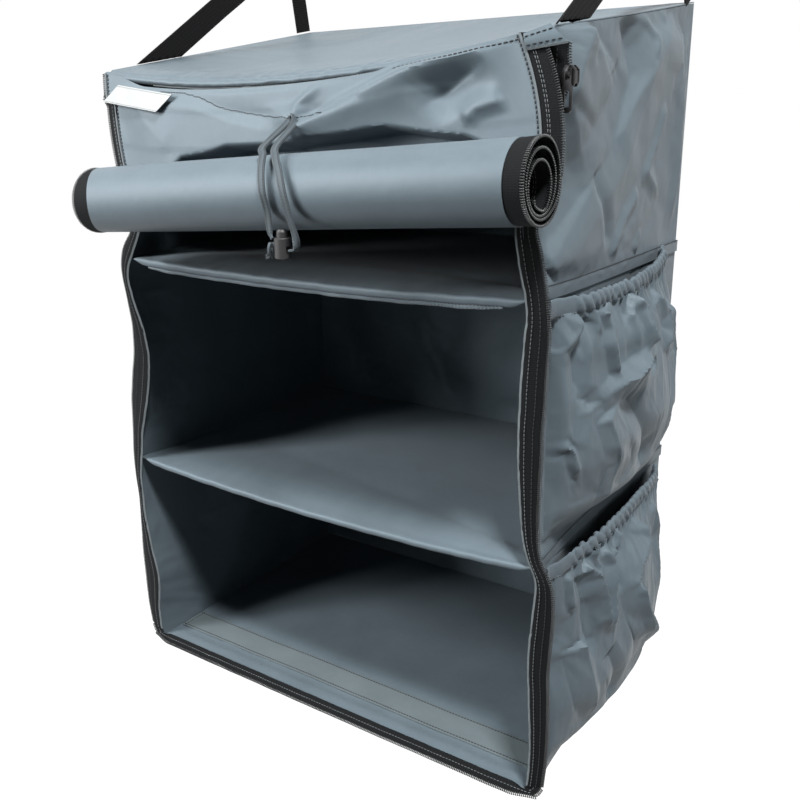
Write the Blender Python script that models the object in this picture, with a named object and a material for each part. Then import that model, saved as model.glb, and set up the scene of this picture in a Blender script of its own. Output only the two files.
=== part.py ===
"""Hanging collapsible storage shelf: a fabric cupboard with three tiers, two boarded shelves and a
boarded base, side pockets, two webbing straps and a front flap that is rolled up and tied.

Frame: metres, +X to the right, -Y to the front, +Z up, origin at the middle of the base's underside.
"""

import math

import bmesh
import bpy
from mathutils import Vector

# Overall form
HALF_WIDTH = 0.250
HALF_DEPTH = 0.168
SHELF_TOPS = {"shelf_1": 0.4806, "shelf_2": 0.2433}
TOP_FRONT_Z = 0.669
TOP_BACK_Z = 0.7257
FRONT_SAG = 0.016
TOP_SAG = 0.006

# Sheet stock and clearances
CLOTH = 0.0015
SLEEVE_CLOTH = 0.0012
BOARD = 0.004
GAP = 0.0003

# Main folds of the upper walls, where the cloth is drawn from the straps down to the front: a line in the
# wall's plane, how far the fold stands out of the side walls or into the back one, and its width on the
# line's left and right
UPPER_FOLDS = {
    "left": [(((0.125, 0.705), (0.060, 0.655), (-0.005, 0.610), (-0.075, 0.565), (-0.130, 0.535)),
              0.0080, 0.075, 0.040)],
    "right": [(((0.132, 0.715), (0.076, 0.667), (0.023, 0.622), (-0.035, 0.572), (-0.086, 0.538),
                (-0.134, 0.505)), 0.0090, 0.080, 0.045)],
    "back": [(((-0.235, 0.715), (-0.140, 0.640), (-0.060, 0.600)), 0.0070, 0.060, 0.045),
             (((0.235, 0.710), (0.130, 0.630), (0.050, 0.590)), 0.0065, 0.045, 0.060)],
}
FOLD_SHARPNESS = 1.3
FOLD_FADE = 0.12

# Shelf and base sleeves, each with its board pushed in from behind
SLEEVE_HEIGHT = 0.0072
SLEEVE_HALF_WIDTH = 0.2480
SLEEVE_FRONT_Y = -0.1020
SLEEVE_BACK_Y = 0.1640
BOARD_HALF_WIDTH = 0.2455
BOARD_BACK_Y = 0.1600
BASE_HEIGHT = 0.0076
BASE_FRONT_Y = -0.1662
BASE_STEP = (-0.1030, 0.0016)
LIP_DROOP = {"shelf_1": 0.0064, "shelf_2": 0.0098}
LIP_NOSE_Y = -0.1658
FACING_Y = (-0.141, -0.106)
FACING_HALF_WIDTH = 0.246
FACING_CLOTH = 0.0010

# Zip tapes, sewn along the opening and folded out sideways
TAPE_WIDTH = 0.022
TAPE_CLOTH = 0.0012
TAPE_FRONT_Y = -0.1678
TAPE_SEAM_X = 0.2440
TAPE_FOLD_X = 0.2505
TAPE_EDGE = (0.2660, -0.1632)
COIL_RADIUS = 0.0015
TAPE_TOP_Z = 0.6560
BASE_TAPE_LENGTH = 0.0118
BASE_TAPE_FALL = (-0.0102, -0.0060)
BASE_TAPE_END_X = 0.2590

# Front flap: hinge line, and the roll that it is wound into
FLAP_HINGE = (-0.1712, 0.6590)
ROLL_Y = -0.2150
ROLL_MIDDLE_Z = 0.5575
ROLL_SLOPE = 0.0558
ROLL_RADIUS = 0.035
ROLL_TURNS = 3.4
ROLL_PITCH = 0.0055
ROLL_STEPS_A_TURN = 18
FLAP_LEFT_X = (-0.2320, -0.2110)
FLAP_RIGHT_X = (0.2300, 0.2455)
LABEL_THICKNESS = 0.0006
LABEL_LEFT = (-0.2285, 0.6500, 0.6320)
LABEL_RIGHT = (-0.1500, 0.6440, 0.6280)

# Tie round the roll, and its cord lock
TIE_WIDTH = 0.0065
TIE_THICKNESS = 0.0020
LOCK_CENTRE = (0.0520, -0.2475)
LOCK_RADIUS = 0.0070
LOCK_BOTTOM_Z = 0.5090
LOCK_BODY_HEIGHT = 0.0175
LOCK_HOLE_Z = 0.5165
LOCK_HOLE = 0.0060

# Side pockets: low and high end of the hem along the depth, bottom seam and how far they billow
POCKET_Y = (-0.150, 0.128)
POCKETS = {"middle": (0.2480, 0.4600, 0.4740), "lower": (0.0060, 0.2300, 0.2180)}
POCKET_CLOTH = 0.0012
ELASTIC_RADIUS = 0.0025

# Webbing straps
STRAP_WIDTH = 0.025
STRAP_THICKNESS = 0.0018
STRAP_X = 0.2491
STRAP_FRONT = 0.0760
STRAP_BACK = 0.3270
STRAP_APEX = (0.3270, 0.0985)
STRAP_LIFT = 0.0016

# Zip slider
SLIDER_Z = 0.6470
SLIDER_LENGTH = 0.015
SLIDER_WIDTH = 0.011
PULL_LENGTH = 0.031
PULL_THICKNESS = 0.0012
PULL_PIVOT = (-0.1681, 0.6513)


def clear_scene():
    for item in list(bpy.data.objects):
        bpy.data.objects.remove(item, do_unlink=True)


def material(name, colour, roughness, metallic=0.0):
    made = bpy.data.materials.new(name)
    made.use_nodes = True
    shader = made.node_tree.nodes["Principled BSDF"]
    shader.inputs["Base Color"].default_value = (*colour, 1.0)
    shader.inputs["Roughness"].default_value = roughness
    shader.inputs["Metallic"].default_value = metallic
    made.diffuse_color = (*colour, 1.0)
    return made


def finish(name, mesh_data, made_of):
    """Puts a filled bmesh into the scene as a named object."""
    bmesh.ops.recalc_face_normals(mesh_data, faces=mesh_data.faces)
    mesh = bpy.data.meshes.new(name)
    mesh_data.to_mesh(mesh)
    mesh_data.free()
    item = bpy.data.objects.new(name, mesh)
    item.data.materials.append(made_of)
    bpy.context.scene.collection.objects.link(item)
    return item


def smooth(item, degrees=40):
    item.data.shade_smooth()
    item.data.set_sharp_from_angle(angle=math.radians(degrees))


def box(name, low, high, made_of):
    work = bmesh.new()
    bmesh.ops.create_cube(work, size=1.0)
    size = [b - a for a, b in zip(low, high)]
    middle = [(a + b) / 2 for a, b in zip(low, high)]
    bmesh.ops.scale(work, vec=size, verts=work.verts)
    bmesh.ops.translate(work, vec=middle, verts=work.verts)
    return finish(name, work, made_of)


def side_plate(name, outline, x_from, x_to, made_of):
    """A flat piece drawn as (y, z) points and given its thickness along X."""
    work = bmesh.new()
    face = work.faces.new([work.verts.new((x_from, y, z)) for y, z in outline])
    grown = bmesh.ops.extrude_face_region(work, geom=[face])
    corners = [part for part in grown["geom"] if isinstance(part, bmesh.types.BMVert)]
    bmesh.ops.translate(work, vec=(x_to - x_from, 0, 0), verts=corners)
    return finish(name, work, made_of)


def loft(name, sections, made_of):
    """Joins closed sections of equal point count, one after the other, and caps both ends."""
    work = bmesh.new()
    rings = [[work.verts.new(point) for point in section] for section in sections]
    for ring, following in zip(rings, rings[1:]):
        for i in range(len(ring)):
            j = (i + 1) % len(ring)
            work.faces.new((ring[i], ring[j], following[j], following[i]))
    work.faces.new(rings[0])
    work.faces.new(rings[-1])
    return finish(name, work, made_of)


def sheet(name, rows, thickness, offset, made_of):
    """A surface through rows of points, thickened to one side of it."""
    work = bmesh.new()
    grid = [[work.verts.new(point) for point in row] for row in rows]
    for row, following in zip(grid, grid[1:]):
        for i in range(len(row) - 1):
            work.faces.new((row[i], row[i + 1], following[i + 1], following[i]))
    mesh = bpy.data.meshes.new(name)
    work.to_mesh(mesh)
    work.free()
    item = bpy.data.objects.new(name, mesh)
    item.data.materials.append(made_of)
    bpy.context.scene.collection.objects.link(item)
    wall = item.modifiers.new("Cloth", "SOLIDIFY")
    wall.thickness = thickness
    wall.offset = offset
    wall.use_even_offset = True
    item.data.shade_smooth()
    return item


def folded_plate(name, rows, thickness, made_of):
    """A surface through rows of points, grown straight along the given thickness."""
    work = bmesh.new()
    grid = [[work.verts.new(point) for point in row] for row in rows]
    for row, following in zip(grid, grid[1:]):
        for i in range(len(row) - 1):
            work.faces.new((row[i], row[i + 1], following[i + 1], following[i]))
    grown = bmesh.ops.extrude_face_region(work, geom=work.faces[:])
    moved = [part for part in grown["geom"] if isinstance(part, bmesh.types.BMVert)]
    bmesh.ops.translate(work, vec=thickness, verts=moved)
    item = finish(name, work, made_of)
    smooth(item, 60)
    return item


def blend(values, position):
    """A smooth value between evenly spaced ones, for a position from 0 to 1."""
    place = min(max(position, 0.0), 1.0) * (len(values) - 1)
    i = min(int(place), len(values) - 2)
    t = place - i
    t = t * t * (3 - 2 * t)
    return values[i] + (values[i + 1] - values[i]) * t


def smooth_path(points, steps):
    """Points on a Catmull-Rom curve through the given ones."""
    padded = [2 * Vector(points[0]) - Vector(points[1])]
    padded += [Vector(point) for point in points]
    padded += [2 * Vector(points[-1]) - Vector(points[-2])]
    made = []
    for i in range(1, len(padded) - 2):
        a, b, c, d = padded[i - 1:i + 3]
        for k in range(steps):
            t = k / steps
            made.append(0.5 * (2 * b + (c - a) * t + (2 * a - 5 * b + 4 * c - d) * t * t
                               + (3 * b - a - 3 * c + d) * t * t * t))
    made.append(padded[-2])
    return made


def top_line(y):
    """Height of the top's sloping side edges at a depth."""
    rise = (TOP_BACK_Z - TOP_FRONT_Z) / (2 * HALF_DEPTH)
    return TOP_FRONT_Z + (y + HALF_DEPTH) * rise


def top_surface(x, y):
    across = 1 - (x / HALF_WIDTH) ** 2
    t = (y + HALF_DEPTH) / (2 * HALF_DEPTH)
    return top_line(y) - across * (FRONT_SAG * (1 - t) ** 2 + TOP_SAG * 4 * t * (1 - t))


def front_edge_z(x):
    return top_surface(x, -HALF_DEPTH)


def make_top(fabric):
    hem_back_y = -0.1565
    rows = []
    for j in range(9):
        y = hem_back_y + GAP + (HALF_DEPTH - GAP - hem_back_y - GAP) * j / 8
        rows.append([(x, y, top_surface(x, y)) for x in
                     [HALF_WIDTH * 0.9988 * (i / 6 - 1) for i in range(13)]])
    sheet("top_panel", rows, CLOTH, -1, fabric)

    half_y, half_z = 0.0070, 0.0042
    sections = []
    for i in range(17):
        x = SLEEVE_HALF_WIDTH * (i / 8 - 1)
        centre = front_edge_z(x) - half_z
        sections.append([(x, hem_back_y - half_y + half_y * math.cos(a), centre + half_z * math.sin(a))
                         for a in [math.tau * k / 10 for k in range(10)]])
    smooth(loft("top_front_hem", sections, fabric), 60)


def fold_height(place, folds):
    """How far a wall's folds stand out at a place in its plane."""
    place = Vector(place)
    height = 0.0
    for line, amount, left, right in folds:
        nearest = 1.0
        for start, end in zip(line, line[1:]):
            run = Vector(end) - Vector(start)
            share = min(max((place - Vector(start)).dot(run) / run.length_squared, 0.0), 1.0)
            away = place - Vector(start) - run * share
            reach = left if run.cross(away) > 0 else right
            nearest = min(nearest, away.length / reach)
        height += amount * (1 - nearest) ** FOLD_SHARPNESS
    return height


def fold_grid(low, front_edge, back_edge, front_z, back_z, folds, columns=16, rows=11):
    """Rows of (along, up, out) for a folded wall between its four edges; the edges stay straight."""
    found = []
    for j in range(rows + 1):
        row = []
        for i in range(columns + 1):
            u, v = i / columns, j / rows
            along = front_edge + (back_edge - front_edge) * u
            up = low + (front_z + (back_z - front_z) * u - low) * v
            fade = blend((0.0, 1.0), min(u, 1 - u, v, 1 - v) / FOLD_FADE)
            row.append((along, up, fold_height((along, up), folds) * fade))
        found.append(row)
    return found


def make_upper_walls(low, front_y, front_z, back_z, wall_top, fabric):
    """The three walls of the upper tier, with the folds that the hanging weight draws in them."""
    inner_x = HALF_WIDTH - CLOTH
    for side, sign in (("left", -1), ("right", 1)):
        grid = fold_grid(low, front_y, HALF_DEPTH, front_z, back_z, UPPER_FOLDS[side])
        rows = [[(sign * (inner_x + out), y, z) for y, z, out in row] for row in grid]
        folded_plate(f"{side}_wall_upper", rows, (sign * CLOTH, 0, 0), fabric)
    grid = fold_grid(low, GAP - inner_x, inner_x - GAP, wall_top, wall_top, UPPER_FOLDS["back"])
    rows = [[(x, HALF_DEPTH - CLOTH - inward, z) for x, z, inward in row] for row in grid]
    folded_plate("back_wall_upper", rows, (0, CLOTH, 0), fabric)


def make_walls(fabric):
    """Side and back walls, tier by tier, hung from the level above."""
    seam = 0.0005
    under_top = CLOTH + GAP
    front_y = -0.1662
    make_upper_walls(SHELF_TOPS["shelf_1"] + seam, front_y, top_line(front_y) - under_top,
                     top_line(HALF_DEPTH) - under_top,
                     top_line(HALF_DEPTH - CLOTH) - under_top - seam, fabric)
    levels = {
        "middle": (SHELF_TOPS["shelf_2"] + seam, SHELF_TOPS["shelf_1"]),
        "lower": (seam, SHELF_TOPS["shelf_2"]),
    }
    inner_x = HALF_WIDTH - CLOTH
    for tier, (low, high) in levels.items():
        outline = [(front_y, low), (HALF_DEPTH, low), (HALF_DEPTH, high), (front_y, high)]
        for side, sign in (("left", -1), ("right", 1)):
            side_plate(f"{side}_wall_{tier}", outline, sign * inner_x, sign * HALF_WIDTH, fabric)
        box(f"back_wall_{tier}", (GAP - inner_x, HALF_DEPTH - CLOTH, low),
            (inner_x - GAP, HALF_DEPTH, high), fabric)


def make_sleeve(name, low, high, fabric, step=None):
    """A flat fabric case, open along its back edge; ahead of a step, (depth, drop), its top is lower."""
    work = bmesh.new()
    bmesh.ops.create_cube(work, size=1.0)
    bmesh.ops.scale(work, vec=[b - a for a, b in zip(low, high)], verts=work.verts)
    bmesh.ops.translate(work, vec=[(a + b) / 2 for a, b in zip(low, high)], verts=work.verts)
    if step:
        step_y, drop = step
        for y in (step_y - drop, step_y):
            bmesh.ops.bisect_plane(work, geom=work.verts[:] + work.edges[:] + work.faces[:],
                                   plane_co=(0, y, 0), plane_no=(0, 1, 0))
        for vert in work.verts:
            if vert.co.y < step_y - drop / 2 and vert.co.z > high[2] - drop / 2:
                vert.co.z -= drop
    mouth = max(work.faces, key=lambda face: face.calc_center_median().y)
    bmesh.ops.delete(work, geom=[mouth], context="FACES_ONLY")
    item = finish(name, work, fabric)
    wall = item.modifiers.new("Cloth", "SOLIDIFY")
    wall.thickness = SLEEVE_CLOTH
    wall.offset = -1
    wall.use_even_offset = True
    return item


def make_board(name, front_y, underside, made_of):
    work = bmesh.new()
    bmesh.ops.create_cube(work, size=1.0)
    bmesh.ops.scale(work, vec=(2 * BOARD_HALF_WIDTH, BOARD_BACK_Y - front_y, BOARD), verts=work.verts)
    bmesh.ops.translate(work, vec=(0, (BOARD_BACK_Y + front_y) / 2, underside + BOARD / 2), verts=work.verts)
    upright = [edge for edge in work.edges
               if abs(edge.verts[0].co.z - edge.verts[1].co.z) > BOARD / 2]
    bmesh.ops.bevel(work, geom=upright, offset=0.006, segments=3, profile=0.5, affect="EDGES")
    return finish(name, work, made_of)


def make_lip(name, level, droop, fabric):
    """The soft front of a shelf: the sleeve's empty part, which droops between the side walls."""
    back_y = SLEEVE_FRONT_Y - GAP
    sections = []
    for i in range(17):
        x = (SLEEVE_HALF_WIDTH - GAP) * (i / 8 - 1)
        fall = droop * (1 - (i / 8 - 1) ** 2)
        sections.append([
            (x, back_y, level),
            (x, back_y - 0.026, level - 0.0003 - 0.30 * fall),
            (x, back_y - 0.050, level - 0.0008 - 0.70 * fall),
            (x, LIP_NOSE_Y + 0.0016, level - 0.0014 - 0.92 * fall),
            (x, LIP_NOSE_Y, level - 0.0032 - fall),
            (x, LIP_NOSE_Y + 0.0016, level - 0.0048 - fall),
            (x, back_y - 0.046, level - 0.0058 - 0.80 * fall),
            (x, back_y - 0.020, level - 0.0066 - 0.35 * fall),
            (x, back_y, level - SLEEVE_HEIGHT),
        ])
    smooth(loft(name, sections, fabric), 50)


def make_shelves(fabric, board):
    for name, level in SHELF_TOPS.items():
        make_sleeve(f"{name}_sleeve", (-SLEEVE_HALF_WIDTH, SLEEVE_FRONT_Y, level - SLEEVE_HEIGHT),
                    (SLEEVE_HALF_WIDTH, SLEEVE_BACK_Y, level), fabric)
        make_board(f"{name}_board", SLEEVE_FRONT_Y + SLEEVE_CLOTH + GAP,
                   level - (SLEEVE_HEIGHT + BOARD) / 2, board)
        make_lip(f"{name}_front_lip", level, LIP_DROOP[name], fabric)


def make_base(fabric, trim, tape, board):
    """The base's front is soft and lower than its board, with the facing strip sewn across it."""
    step_y, drop = BASE_STEP
    make_sleeve("base_sleeve", (-SLEEVE_HALF_WIDTH, BASE_FRONT_Y, 0),
                (SLEEVE_HALF_WIDTH, SLEEVE_BACK_Y, BASE_HEIGHT), fabric, BASE_STEP)
    make_board("base_board", step_y + SLEEVE_CLOTH, (BASE_HEIGHT - BOARD) / 2, board)
    strip_low = BASE_HEIGHT - drop + GAP
    box("base_facing_strip", (-FACING_HALF_WIDTH, FACING_Y[0], strip_low),
        (FACING_HALF_WIDTH, FACING_Y[1], strip_low + FACING_CLOTH), trim)

    # The bottom run of the zip hangs forward off the base's front edge, straight across
    edge = Vector((BASE_FRONT_Y - 3 * GAP, 0))
    fall = Vector(BASE_TAPE_FALL).normalized()
    across = Vector((-fall.y, fall.x))
    half = across * TAPE_CLOTH / 2
    coil = edge + fall * BASE_TAPE_LENGTH
    outline = [edge - half, coil - half]
    for k in range(5):
        angle = math.pi * (k / 4 - 0.5)
        outline.append(coil + COIL_RADIUS * (fall * math.cos(angle) + across * math.sin(angle)))
    outline += [coil + half, edge + half]
    low = min(point.y for point in outline)
    outline = [(point.x, point.y - low + 2 * GAP) for point in outline]
    side_plate("base_zip_tape", outline, -BASE_TAPE_END_X, BASE_TAPE_END_X, tape)


def tape_outline(sign):
    """(x, y) section of a side tape: a flat seam part, a fold outwards and the coil along the edge."""
    fold = Vector((TAPE_FOLD_X, TAPE_FRONT_Y))
    edge = Vector(TAPE_EDGE)
    run = (edge - fold).normalized()
    across = Vector((-run.y, run.x))
    far = edge - run * COIL_RADIUS
    points = [Vector((TAPE_SEAM_X, TAPE_FRONT_Y)), fold, far]
    points += [edge + COIL_RADIUS * (run * math.cos(a) - across * math.sin(a))
               for a in [math.radians(d) for d in (110, 60, 0, -60, -110)]]
    points += [far + across * TAPE_CLOTH, fold + Vector((-0.0002, TAPE_CLOTH)),
               Vector((TAPE_SEAM_X, TAPE_FRONT_Y + TAPE_CLOTH))]
    return [(sign * point.x, point.y) for point in points]


def make_side_tapes(tape):
    spans = {
        "upper": (SHELF_TOPS["shelf_1"] + 0.001, TAPE_TOP_Z),
        "middle": (SHELF_TOPS["shelf_2"] + 0.001, SHELF_TOPS["shelf_1"]),
        "lower": (0.0135, SHELF_TOPS["shelf_2"]),
    }
    for tier, (low, high) in spans.items():
        for side, sign in (("left", -1), ("right", 1)):
            outline = tape_outline(sign)
            sections = [[(x, y, z) for x, y in outline] for z in (low, high)]
            smooth(loft(f"{side}_zip_tape_{tier}", sections, tape), 50)
    for side, sign in (("left", -1), ("right", 1)):
        low, high = TAPE_TOP_Z + GAP, TAPE_TOP_Z + 0.0080
        cover = [(-0.1656, low), (-0.1656, high), (-0.1640, high), (-0.1640, low)]
        side_plate(f"{side}_zip_end_cover", cover, sign * (HALF_WIDTH + GAP), sign * 0.2660, tape)


def roll_centre_z(x):
    return ROLL_MIDDLE_Z + ROLL_SLOPE * x


def flap_path(x):
    """(y, z) points down the flap at one place across it: the hanging part, then the roll."""
    hinge_y, hinge_z = FLAP_HINGE
    start = Vector((hinge_y, min(front_edge_z(x) - 0.0090, hinge_z - 0.0010)))
    centre = Vector((ROLL_Y, roll_centre_z(x)))
    back = centre + Vector((ROLL_RADIUS, 0))
    made = []
    for k in range(8):
        t = k / 8
        made.append(start.lerp(back, t) + Vector((-0.0030 * math.sin(math.pi * t), 0)))
    steps = round(ROLL_TURNS * ROLL_STEPS_A_TURN)
    for k in range(steps + 1):
        turned = math.tau * k / ROLL_STEPS_A_TURN
        radius = ROLL_RADIUS - ROLL_PITCH * turned / math.tau
        made.append(centre + radius * Vector((math.cos(turned), -math.sin(turned))))
    return made


def flap_face_y(x, z):
    """Depth of the front face of the flap's hanging part, at one place across it and one height."""
    hanging = flap_path(x)[:9]
    below = next(k for k, point in enumerate(hanging) if point.y < z)
    upper, lower = hanging[below - 1], hanging[below]
    share = (upper.y - z) / (upper.y - lower.y)
    return upper.x + (lower.x - upper.x) * share - CLOTH


def edge_x(pair, k):
    """The flap's edge wanders between its place at the hinge and its place in the roll."""
    return blend([pair[0], pair[1]], k / 8)


def make_flap(fabric, tape, label):
    columns = 6
    count = len(flap_path(0))
    paths = []
    for i in range(columns + 1):
        share = i / columns
        column = []
        for k in range(count):
            x = FLAP_LEFT_X[0] + (FLAP_RIGHT_X[0] - FLAP_LEFT_X[0]) * share
            if k:
                left, right = edge_x(FLAP_LEFT_X, k), edge_x(FLAP_RIGHT_X, k)
                x = left + (right - left) * share
            y, z = flap_path(x)[k]
            column.append((x, y, z))
        paths.append(column)
    rows = [[column[k] for column in paths] for k in range(count)]
    sheet("front_flap", rows, CLOTH, -1, fabric)

    for side, pair, sign in (("left", FLAP_LEFT_X, -1), ("right", FLAP_RIGHT_X, 1)):
        rows = []
        for k in range(count):
            inner = edge_x(pair, k) + sign * GAP
            ends = sorted((inner, inner + sign * TAPE_WIDTH))
            rows.append([(x, *flap_path(x)[k]) for x in ends])
        sheet(f"flap_zip_tape_{side}", rows, CLOTH, -1, tape)

    rows = []
    for j in range(4):
        row = []
        for i in range(5):
            x, high, low = [a + (b - a) * i / 4 for a, b in zip(LABEL_LEFT, LABEL_RIGHT)]
            z = high + (low - high) * j / 3
            row.append((x, flap_face_y(x, z) - 2 * GAP, z))
        rows.append(row)
    sheet("blank_label", rows, LABEL_THICKNESS, -1, label)


def ribbon(name, path, widths, thickness, made_of):
    """A flat band along a path; widths gives the direction of its width at each point."""
    sections = []
    for k, point in enumerate(path):
        before = path[max(k - 1, 0)]
        after = path[min(k + 1, len(path) - 1)]
        along = (after - before).normalized()
        wide, amount = widths[k]
        wide = (wide - along * wide.dot(along)).normalized() * amount / 2
        thick = along.cross(wide).normalized() * thickness / 2
        sections.append([point - wide - thick, point + wide - thick, point + wide + thick, point - wide + thick])
    item = loft(name, sections, made_of)
    smooth(item, 50)
    return item


def over_roll(x, degrees, lift=0.0):
    """A point on the roll's outside; 0 degrees faces the back, 90 the top and 180 the front."""
    reach = ROLL_RADIUS + TIE_THICKNESS / 2 + 0.0006 + lift
    angle = math.radians(degrees)
    return Vector((x, ROLL_Y + reach * math.cos(angle), roll_centre_z(x) + reach * math.sin(angle)))


def make_tie(fabric, cord, lock_plastic, steel):
    lock_x, lock_y = LOCK_CENTRE
    side_gap = LOCK_RADIUS + 0.0009
    knot_x = lock_x - side_gap - 0.0045
    strands = {
        "left": [
            Vector((0.0040, -0.1815, 0.6200)), Vector((-0.0040, -0.1885, 0.6135)),
            over_roll(0.0050, 104, 0.0030), over_roll(0.0150, 125), over_roll(0.0260, 150),
            over_roll(0.0310, 178), over_roll(0.0340, 205),
            Vector((0.0385, lock_y + 0.0005, 0.5310)),
            Vector((knot_x + 0.0015, lock_y, LOCK_HOLE_Z + 0.0082)),
        ],
        "right": [
            Vector((0.0180, -0.1815, 0.6200)), Vector((0.0120, -0.1900, 0.6145)),
            over_roll(0.0240, 108, 0.0030), over_roll(0.0360, 130), over_roll(0.0480, 155),
            over_roll(0.0570, 180, 0.0010), Vector((0.0640, lock_y - 0.0030, 0.5430)),
            Vector((0.0668, lock_y - 0.0005, 0.5290)),
            Vector((0.0664, lock_y, 0.5185)), Vector((lock_x + side_gap, lock_y, LOCK_HOLE_Z)),
        ],
    }
    for side, points in strands.items():
        path = smooth_path(points, 3)
        widths = []
        for k, point in enumerate(path):
            outward = Vector((0, point.y - ROLL_Y, point.z - roll_centre_z(point.x)))
            along = path[min(k + 1, len(path) - 1)] - path[max(k - 1, 0)]
            widths.append((outward.cross(along), TIE_WIDTH))
        if side == "right":
            for k in range(len(path) - 6, len(path)):
                widths[k] = (Vector((0, 1, 0)), LOCK_HOLE - 0.0010)
        ribbon(f"tie_strand_{side}", path, widths, TIE_THICKNESS, cord)

    # The knot in the strands' ends, just outside the lock's cross hole
    work = bmesh.new()
    bmesh.ops.create_icosphere(work, subdivisions=2, radius=1.0)
    bmesh.ops.scale(work, vec=(0.0042, 0.0046, 0.0056), verts=work.verts)
    bmesh.ops.translate(work, vec=(knot_x, lock_y, LOCK_HOLE_Z + 0.0004), verts=work.verts)
    smooth(finish("tie_knot", work, cord))
    make_cord_lock(lock_plastic, steel)


def turned(name, profile, centre, made_of, steps=24):
    """A solid of revolution about an upright axis, from (radius, z) points on a closed outline."""
    rings = []
    for k in range(steps):
        angle = math.tau * k / steps
        rings.append([(centre[0] + r * math.cos(angle), centre[1] + r * math.sin(angle), z)
                      for r, z in profile])
    work = bmesh.new()
    made = [[work.verts.new(point) for point in ring] for ring in rings]
    for k in range(steps):
        ring, following = made[k], made[(k + 1) % steps]
        for i in range(len(profile)):
            j = (i + 1) % len(profile)
            work.faces.new((ring[i], ring[j], following[j], following[i]))
    bmesh.ops.remove_doubles(work, verts=work.verts, dist=1e-6)
    item = finish(name, work, made_of)
    smooth(item)
    return item


def hide_cutter(cutter):
    cutter.hide_render = True
    cutter.display_type = "WIRE"


def cut(item, cutter):
    change = item.modifiers.new("Cut", "BOOLEAN")
    change.operation = "DIFFERENCE"
    change.object = cutter
    hide_cutter(cutter)


def make_cord_lock(plastic, steel):
    """A barrel with a cross hole, and a sprung plunger with a hole that lines up when it is pressed."""
    x, y = LOCK_CENTRE
    low = LOCK_BOTTOM_Z
    top = low + LOCK_BODY_HEIGHT
    bore = 0.0050
    floor = low + 0.0016
    lead = 0.0008
    barrel = [
        (LOCK_RADIUS - lead, low), (LOCK_RADIUS, low + lead), (LOCK_RADIUS, top - lead),
        (LOCK_RADIUS - lead, top), (bore, top), (bore, floor), (0, floor), (0, low),
    ]
    body = turned("cord_lock_body", barrel, (x, y), plastic)
    half = LOCK_HOLE / 2
    cut(body, box("cord_lock_cross_hole", (x - 0.02, y - half, LOCK_HOLE_Z - half),
                  (x + 0.02, y + half, LOCK_HOLE_Z + half), plastic))

    # The plunger stands proud of the barrel by its travel and a cap
    seat = LOCK_HOLE_Z - 0.0024
    stem = bore - GAP
    cap_top = top + 0.0066
    plunger = [
        (stem, seat), (stem, top + 0.0046), (stem - 0.0012, cap_top), (0, cap_top + 0.0004), (0, seat),
    ]
    button = turned("cord_lock_button", plunger, (x, y), plastic)
    cut(button, box("cord_lock_button_hole", (x - 0.02, y - half, LOCK_HOLE_Z - 0.0010),
                    (x + 0.02, y + half, LOCK_HOLE_Z + 0.0064), plastic))

    # The spring under the plunger
    wire = 0.0004
    radius = 0.0032
    turns = 3
    rise = seat - floor - 2 * wire - 2 * GAP
    steps = 14 * turns
    sections = []
    for k in range(steps + 1):
        angle = math.tau * turns * k / steps
        outward = Vector((math.cos(angle), math.sin(angle), 0))
        centre = Vector((x, y, floor + GAP + wire + rise * k / steps)) + radius * outward
        sections.append([centre + wire * (outward * math.cos(a) + Vector((0, 0, 1)) * math.sin(a))
                         for a in [math.tau * n / 6 for n in range(6)]])
    smooth(loft("cord_lock_spring", sections, steel))


def make_pockets(fabric, elastic_cloth):
    billow = [0.0, 0.034, 0.045, 0.041, 0.034, 0.022]
    across_steps, up_steps = 12, 9
    for tier, (low, high_front, high_back) in POCKETS.items():
        for side, sign in (("left", -1), ("right", 1)):
            rows = []
            hem = []
            for j in range(up_steps + 1):
                v = j / up_steps
                row = []
                for i in range(across_steps + 1):
                    u = i / across_steps
                    y = POCKET_Y[0] + (POCKET_Y[1] - POCKET_Y[0]) * u
                    rim = high_front + (high_back - high_front) * u
                    z = low + (rim - low) * v
                    out = blend(billow, v) * math.sin(math.pi * u) ** 0.5 if 0 < i < across_steps else 0
                    row.append((sign * (HALF_WIDTH + GAP + out), y, z))
                rows.append(row if sign < 0 else row[::-1])
                hem = row
            sheet(f"{side}_pocket_{tier}", rows, POCKET_CLOTH, -1, fabric)

            reach = ELASTIC_RADIUS + GAP
            points = []
            for x, y, z in hem:
                x = sign * max(abs(x), HALF_WIDTH + reach)
                points.append(Vector((x, y, z + reach + 0.0009)))
            points[0].y += ELASTIC_RADIUS
            points[-1].y -= ELASTIC_RADIUS
            make_elastic(f"{side}_pocket_elastic_{tier}", smooth_path(points, 1), elastic_cloth)


def make_elastic(name, path, made_of):
    sections = []
    for k, point in enumerate(path):
        along = (path[min(k + 1, len(path) - 1)] - path[max(k - 1, 0)]).normalized()
        sideways = along.cross(Vector((0, 0, 1))).normalized()
        upward = sideways.cross(along)
        sections.append([point + ELASTIC_RADIUS * (sideways * math.cos(a) + upward * math.sin(a))
                         for a in [math.tau * n / 8 for n in range(8)]])
    smooth(loft(name, sections, made_of))


def strap_point(sign, along, above):
    """A place in a strap's plane, measured along and square to the top's side edge."""
    slope = math.atan2(TOP_BACK_Z - TOP_FRONT_Z, 2 * HALF_DEPTH)
    run = Vector((0, math.cos(slope), math.sin(slope)))
    rise = Vector((0, -math.sin(slope), math.cos(slope)))
    return Vector((sign * STRAP_X, -HALF_DEPTH, TOP_FRONT_Z)) + run * along + rise * above


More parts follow.
